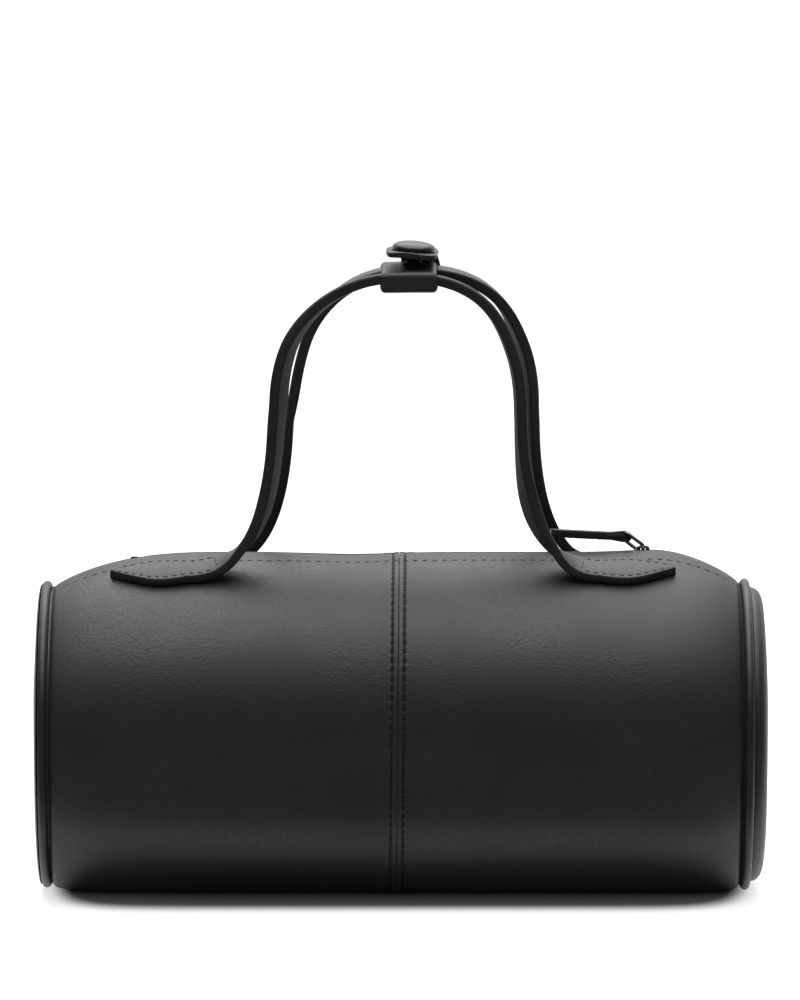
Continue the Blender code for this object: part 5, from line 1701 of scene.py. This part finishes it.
def slider_outline():
    """Return the slider's shield in plan: narrow at its tail, wide where both rows enter."""
    share = np.linspace(0.0, 1.0, 30)
    x = -SLIDER_LENGTH / 2 * np.cos(math.pi * share)
    body = 0.0036 + (SLIDER_HALF_WIDTH - 0.0036) * smooth(share, 0.25, 0.75)
    y = body * np.minimum(1.0, np.sin(math.pi * share) * 2.1) ** 0.42
    upper = [(SLIDER_X + a, b) for a, b in zip(x[1:-1], y[1:-1])]
    return upper + [(a, -b) for a, b in reversed(upper)]


class BARREL_OT_zip_slider(Operator):
    """Make the slider: two rounded plates with lips, a web and a bridge for the link"""
    bl_idname = "barrel_bag.zip_slider"
    bl_label = "Zip slider"

    def execute(self, context):
        upper, lower = CHAIN_TOP + GAP, CHAIN_TOP - TOOTH_THICKNESS - GAP
        outline = slider_outline()
        parts = [plate(outline, upper, PLATE_TOP, 0.0003)]
        parts.append(plate(outline, lower - SLIDER_PLATE, lower, 0.0003))
        start, end = SLIDER_X - SLIDER_LENGTH * 0.36, SLIDER_X + SLIDER_LENGTH * 0.40
        x = np.linspace(start, end, 12)
        lip = 0.0029 + 0.0009 * smooth(x, start, end)
        tape_room = TAPE / 2 + GAP
        lips = ((CHAIN_MID + tape_room, upper + 0.0004), (lower - 0.0004, CHAIN_MID - tape_room))
        for side in (-1, 1):
            for low, high in lips:
                path = spread(x, side * lip, (low + high) / 2)
                parts.append(swept(path, (0.0, 1.0, 0.0), 0.00055, (high - low) / 2, 0.4, 12))
        web = spread(SLIDER_X + SLIDER_LENGTH * 0.30, 0.0, np.array([lower, upper]))
        parts.append(swept(web, (1.0, 0.0, 0.0), 0.0015, 0.00025, 0.6, 12))
        turn = np.linspace(0.0, math.pi, 33)
        rise = LINK_AXIS_Z - PLATE_TOP + LINK_WIRE * 0.46 + BRIDGE_THICKNESS / 2
        arch_x = SLIDER_X - BRIDGE_HALF_LENGTH * np.sign(np.cos(turn)) * np.abs(np.cos(turn)) ** 0.60
        arch_z = PLATE_TOP - 0.0004 + (rise + 0.0004) * np.abs(np.sin(turn)) ** 0.42
        path = spread(arch_x, 0.0, arch_z)
        neck = BRIDGE_WIDTH / 2 * (1.0 + 0.25 * np.abs(np.cos(turn)) ** 3)
        stout = BRIDGE_THICKNESS / 2 * (1.0 + 1.3 * np.abs(np.cos(turn)) ** 0.8)
        parts.append(swept(path, (0.0, 1.0, 0.0), neck, stout, 0.5, 16))
        item = add_piece("slider_body", parts, [zip_metal()], ("zip_slider",), sharp=35.0)
        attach(laid_back(item), "slider")
        return {"FINISHED"}


def link_place(run, y):
    """Return a point of the link's plane, from the slider's bridge toward the pull."""
    x = SLIDER_X + run * math.cos(LINK_ANGLE)
    return x, y, LINK_AXIS_Z + run * math.sin(LINK_ANGLE)


class BARREL_OT_pull_link(Operator):
    """Make the wire link between the slider's bridge and the leather pull"""
    bl_idname = "barrel_bag.pull_link"
    bl_label = "Pull link"

    def execute(self, context):
        loop = rounded_loop(LINK_WIDTH / 2, LINK_LENGTH / 2, LINK_CORNER, 10, 8)
        path = np.array([link_place(LINK_LENGTH / 2 + run, y) for y, run in loop])
        flat = (math.sin(LINK_ANGLE), 0.0, -math.cos(LINK_ANGLE))
        path[:, 2] -= path[:, 1] * math.sin(LINK_ROLL)
        ring = swept(path, flat, LINK_WIRE * 0.44, LINK_WIRE * 0.44, 1.0, 18, closed=True)
        item = add_piece("link_wire", [ring], [zip_metal()], ("zip_pull_link",))
        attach(laid_back(item), "link")
        return {"FINISHED"}


def pull_path():
    """Return the folded strip of the pull: (run from the link's far bar, height) from tail to tail."""
    hold = LINK_WIRE / 2 + GAP + PULL_LOOP_PLY / 2
    body = np.linspace(PULL_LENGTH - 0.0036, 0.0005, 34)
    run = np.concatenate((PULL_LENGTH - graded(0.0030, 12, 1.5), body))
    rest = PULL_PLY / 2 + 0.00003
    height = rest + (hold - rest) * (1.0 - smooth(run, 0.0, 0.0062))
    turn = np.linspace(-math.pi / 2, -3 * math.pi / 2, LOOP_STEPS)
    loop = np.column_stack((hold * np.cos(turn), hold * np.sin(turn)))
    lower = np.column_stack((run, -height))
    return np.concatenate((lower, loop, lower[::-1] * (1.0, -1.0)))


def pull_half_width(run):
    """Return half the pull's width at a distance from the link's far bar."""
    return PULL_NECK + (PULL_HALF_WIDTH - PULL_NECK) * smooth(run, 0.0030, 0.0090)


class BARREL_OT_leather_pull(Operator):
    """Make the leather pull: one strip folded round the link, glued and sewn"""
    bl_idname = "barrel_bag.leather_pull"
    bl_label = "Leather pull"

    def execute(self, context):
        own = bag().stitch
        places = pull_path()
        run, height = places[:, 0], places[:, 1]
        corner = np.clip((run - (PULL_LENGTH - 0.0026)) / 0.0026, 0.0, 1.0)
        half = pull_half_width(run) - 0.0024 * (1.0 - np.sqrt(np.maximum(0.0, 1.0 - corner ** 2)))
        ply = PULL_LOOP_PLY + (PULL_PLY - PULL_LOOP_PLY) * smooth(run, 0.0, 0.0060)
        base = np.array(link_place(LINK_LENGTH, 0.0))
        along = np.array((math.cos(PULL_ANGLE), 0.0, math.sin(PULL_ANGLE)))
        lift = np.array((math.sin(PULL_ANGLE), 0.0, -math.cos(PULL_ANGLE)))
        path = base + run[:, None] * along + height[:, None] * lift
        rings = strip(path, (0.0, 1.0, 0.0), half, ply / 2)[0]
        inside = slice(0, (len(places) - LOOP_STEPS) // 2)
        core_path = base + run[inside, None] * along
        core = swept(core_path, (0.0, 1.0, 0.0), half[inside] + 0.00006, np.abs(height[inside]), 0.35, 20)
        eye = spread(base[0], np.array([-PULL_NECK, PULL_NECK]) * 0.96, base[2])
        plug = swept(eye, along, PULL_LOOP_PLY * 1.1, PULL_LOOP_PLY * 1.1, 1.0, 20)
        item = add_piece("pull_strip", [hose(rings, marks=strip_paint()), (*core[:2], 1), (*plug[:2], 1)],
                         [strap_leather(), edge_paint()], ("zip_pull_tab",), sharp=50.0)
        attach(laid_back(item), "pull")
        walk = np.linspace(0.0065, PULL_LENGTH - 0.0016, 60)
        inset = PULL_HALF_WIDTH - 0.0014
        width = np.minimum(inset, pull_half_width(walk) - 0.0014)
        runs = np.concatenate((walk, np.full(14, walk[-1]), walk[::-1]))
        sides = np.concatenate((width, inset * np.linspace(1.0, -1.0, 14), -width[::-1]))
        parts = []
        for face in (-1, 1):
            line = base + runs[:, None] * along + sides[:, None] * np.array((0.0, 1.0, 0.0))
            line = line + face * (PULL_PLY - 0.00012) * lift
            normals = np.tile(face * lift, (len(line), 1))
            parts += thread_run(line, normals, own.petal_pitch * 0.85, own.thread * 0.7)
        item = add_piece("stitching_pull", parts, [thread_finish()])
        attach(laid_back(item), "pull")
        return {"FINISHED"}


# Studio

def stage_piece(name, corners, faces, material):
    """Add a piece of the stage, which is no part of the bag."""
    mesh = bpy.data.meshes.new(name)
    mesh.from_pydata(corners, [], faces)
    mesh.materials.append(material)
    item = bpy.data.objects.new(name, mesh)
    bpy.context.scene.collection.objects.link(item)
    return item


def seen_directly(bench):
    """Return 1 for what the camera, a gloss or a clear material sees, and 0 for the light itself."""
    path = bench.add("ShaderNodeLightPath")
    seen = bench.math("ADD", path.outputs["Is Camera Ray"], path.outputs["Is Glossy Ray"])
    seen = bench.math("ADD", seen, path.outputs["Is Transmission Ray"])
    return bench.math("MINIMUM", seen, 1.0)


def floor_finish(colour):
    """Plain pale floor that meets the white background and keeps the bag's shadow; it glows, painted light,
    except in a patch under the bag, whose soft edge is a painted shadow.
    """
    material, bench, shader = start_finish("floor_finish", specular=0.0)
    shader.inputs["Roughness"].default_value = 0.9
    tone = bench.noise(bench.place(), 3.0)
    shade = bench.ramp(tone, 0.3, 0.7, 0.99, 1.0)
    bench.feed(shader.inputs["Base Color"], bench.scaled(colour, shade))
    x, y, _ = bench.axes()
    beside = bench.math("ABSOLUTE", bench.math("DIVIDE", x, SHADOW_HALF_LENGTH))
    before = bench.math("ABSOLUTE", bench.math("DIVIDE", y, SHADOW_HALF_DEPTH))
    apart = bench.math("ADD", bench.math("POWER", beside, 12.0), bench.math("POWER", before, 2.0))
    apart = bench.math("SQRT", apart)
    # Painted light: outside the patch under the bag the floor glows for the camera and in reflections; the
    # glow fades toward the patch, painting the edge of its shadow.
    clear = bench.ramp(apart, 0.74, 1.14, 0.0, 0.70)
    bench.feed(shader.inputs["Emission Strength"], bench.math("MULTIPLY", seen_directly(bench), clear))
    shader.inputs["Emission Color"].default_value = (1.0, 1.0, 1.0, 1.0)
    return material


class BARREL_OT_studio(Operator):
    """Set the camera, the softbox, the white background and the pale floor"""
    bl_idname = "barrel_bag.studio"
    bl_label = "Studio"

    def execute(self, context):
        own = bag().studio
        scene = context.scene
        scene.view_settings.view_transform = "Standard"
        self.camera(scene, own)
        self.world(scene, own)
        self.softbox(scene, own)
        corners = [(FLOOR_REACH * x, FLOOR_REACH * y, 0.0) for x, y in ((-1, -1), (1, -1), (1, 1), (-1, 1))]
        stage_piece("floor", corners, [(0, 1, 2, 3)], floor_finish(tuple(own.floor_colour)))
        self.painted_reflection_card()
        return {"FINISHED"}

    @staticmethod
    def camera(scene, own):
        """Look at the bag from the front, a little above the horizon."""
        data = bpy.data.cameras.new("camera")
        data.sensor_width = 36.0
        data.lens = data.sensor_width * own.distance / own.view_height
        data.clip_end = 50.0
        item = bpy.data.objects.new("camera", data)
        back = Vector((0.0, -math.cos(own.elevation), math.sin(own.elevation)))
        item.location = Vector((0.0, 0.0, own.aim)) + back * own.distance
        item.rotation_mode = "QUATERNION"
        item.rotation_quaternion = (-back).to_track_quat("-Z", "Y")
        scene.collection.objects.link(item)
        scene.camera = item

    @staticmethod
    def world(scene, own):
        """White for what is seen, a plain fill for what lights the bag."""
        world = bpy.data.worlds.new("room")
        world.use_nodes = True
        bench = Bench(world.node_tree)
        shown = world.node_tree.nodes["Background"]
        shown.inputs["Color"].default_value = (1.0, 1.0, 1.0, 1.0)
        strength = bench.math("MULTIPLY_ADD", seen_directly(bench), 1.0 - own.fill, own.fill)
        bench.feed(shown.inputs["Strength"], strength)
        scene.world = world

    @staticmethod
    def softbox(scene, own):
        """Hang one large softbox over the bag, a little further back than it."""
        data = bpy.data.lights.new("softbox", "AREA")
        data.shape = "RECTANGLE"
        data.size, data.size_y = SOFTBOX_WIDTH, SOFTBOX_HEIGHT
        data.energy = own.softbox * math.pi * SOFTBOX_WIDTH * SOFTBOX_HEIGHT
        item = bpy.data.objects.new("softbox", data)
        item.location = SOFTBOX_PLACE
        item.visible_camera = False
        scene.collection.objects.link(item)

    @staticmethod
    def painted_reflection_card():
        """Lay a grey card before the bag that curves up to a dark one, which only the gloss sees: a painted
        reflection that darkens the floor and the room in the leather's gloss.
        """
        material, bench, shader = start_finish("painted_reflection_card_finish", specular=0.0)
        # Painted reflection: grey where it lies on the floor, dark where it stands up; only reflections see
        # it, never the camera or the light.
        shade = bench.ramp(bench.axes()[2], 0.02, 1.2, 0.22, 0.05)
        bench.feed(shader.inputs["Base Color"], shade)
        shader.inputs["Roughness"].default_value = 0.9
        reach = math.radians(115.0)
        turns = np.linspace(-reach, reach, 25)[None, :]
        radius = np.array([0.064, 0.30, 3.5, 3.6, 3.6])[:, None]
        height = np.array([0.0006, 0.0008, 0.010, 0.10, 3.4])[:, None]
        points = spread((radius + 0.075) * np.sin(turns), -radius * np.cos(turns), height)
        points[0, :, 0] = 0.27 * turns[0] / reach
        points[0, :, 1] = -radius[0]
        faces = quads(np.arange(points[..., 0].size).reshape(points.shape[:2])).tolist()
        item = stage_piece("painted_reflection_card", points.reshape(-1, 3).tolist(), faces, material)
        item.visible_camera = False
        item.visible_diffuse = False
        item.visible_shadow = False
        item.visible_transmission = False


class BARREL_PT_workshop(Panel):
    """Lists the steps that dress the bag"""
    bl_label = "Barrel Bag"
    bl_idname = "BARREL_PT_workshop"
    bl_space_type = "VIEW_3D"
    bl_region_type = "UI"
    bl_category = "Barrel Bag"

    def draw(self, context):
        column = self.layout.column(align=True)
        for step in STEPS:
            column.operator(step.bl_idname)


SETTINGS = (
    LeatherSettings, BarrelSettings, StitchSettings, MetalSettings, ClothSettings, StudioSettings,
    BagSettings,
)
STEPS = (
    BARREL_OT_body_panels, BARREL_OT_lining, BARREL_OT_round_ends, BARREL_OT_zip_covers,
    BARREL_OT_barrel_stitching, BARREL_OT_handles, BARREL_OT_keeper, BARREL_OT_keeper_flap, BARREL_OT_snap,
    BARREL_OT_zip_tapes, BARREL_OT_zip_chain, BARREL_OT_zip_slider, BARREL_OT_pull_link,
    BARREL_OT_leather_pull, BARREL_OT_studio,
)


def register():
    """Register the settings, the steps and the panel."""
    for part in (*SETTINGS, *STEPS, BARREL_PT_workshop):
        bpy.utils.register_class(part)
    bpy.types.Scene.barrel_bag = PointerProperty(name="Barrel bag", type=BagSettings)


def unregister():
    """Remove what register added."""
    del bpy.types.Scene.barrel_bag
    for part in reversed((*SETTINGS, *STEPS, BARREL_PT_workshop)):
        bpy.utils.unregister_class(part)


def main():
    """Dress the whole bag."""
    register()
    for step in STEPS:
        family, action = step.bl_idname.split(".")
        getattr(getattr(bpy.ops, family), action)()


if __name__ == "__main__":
    main()
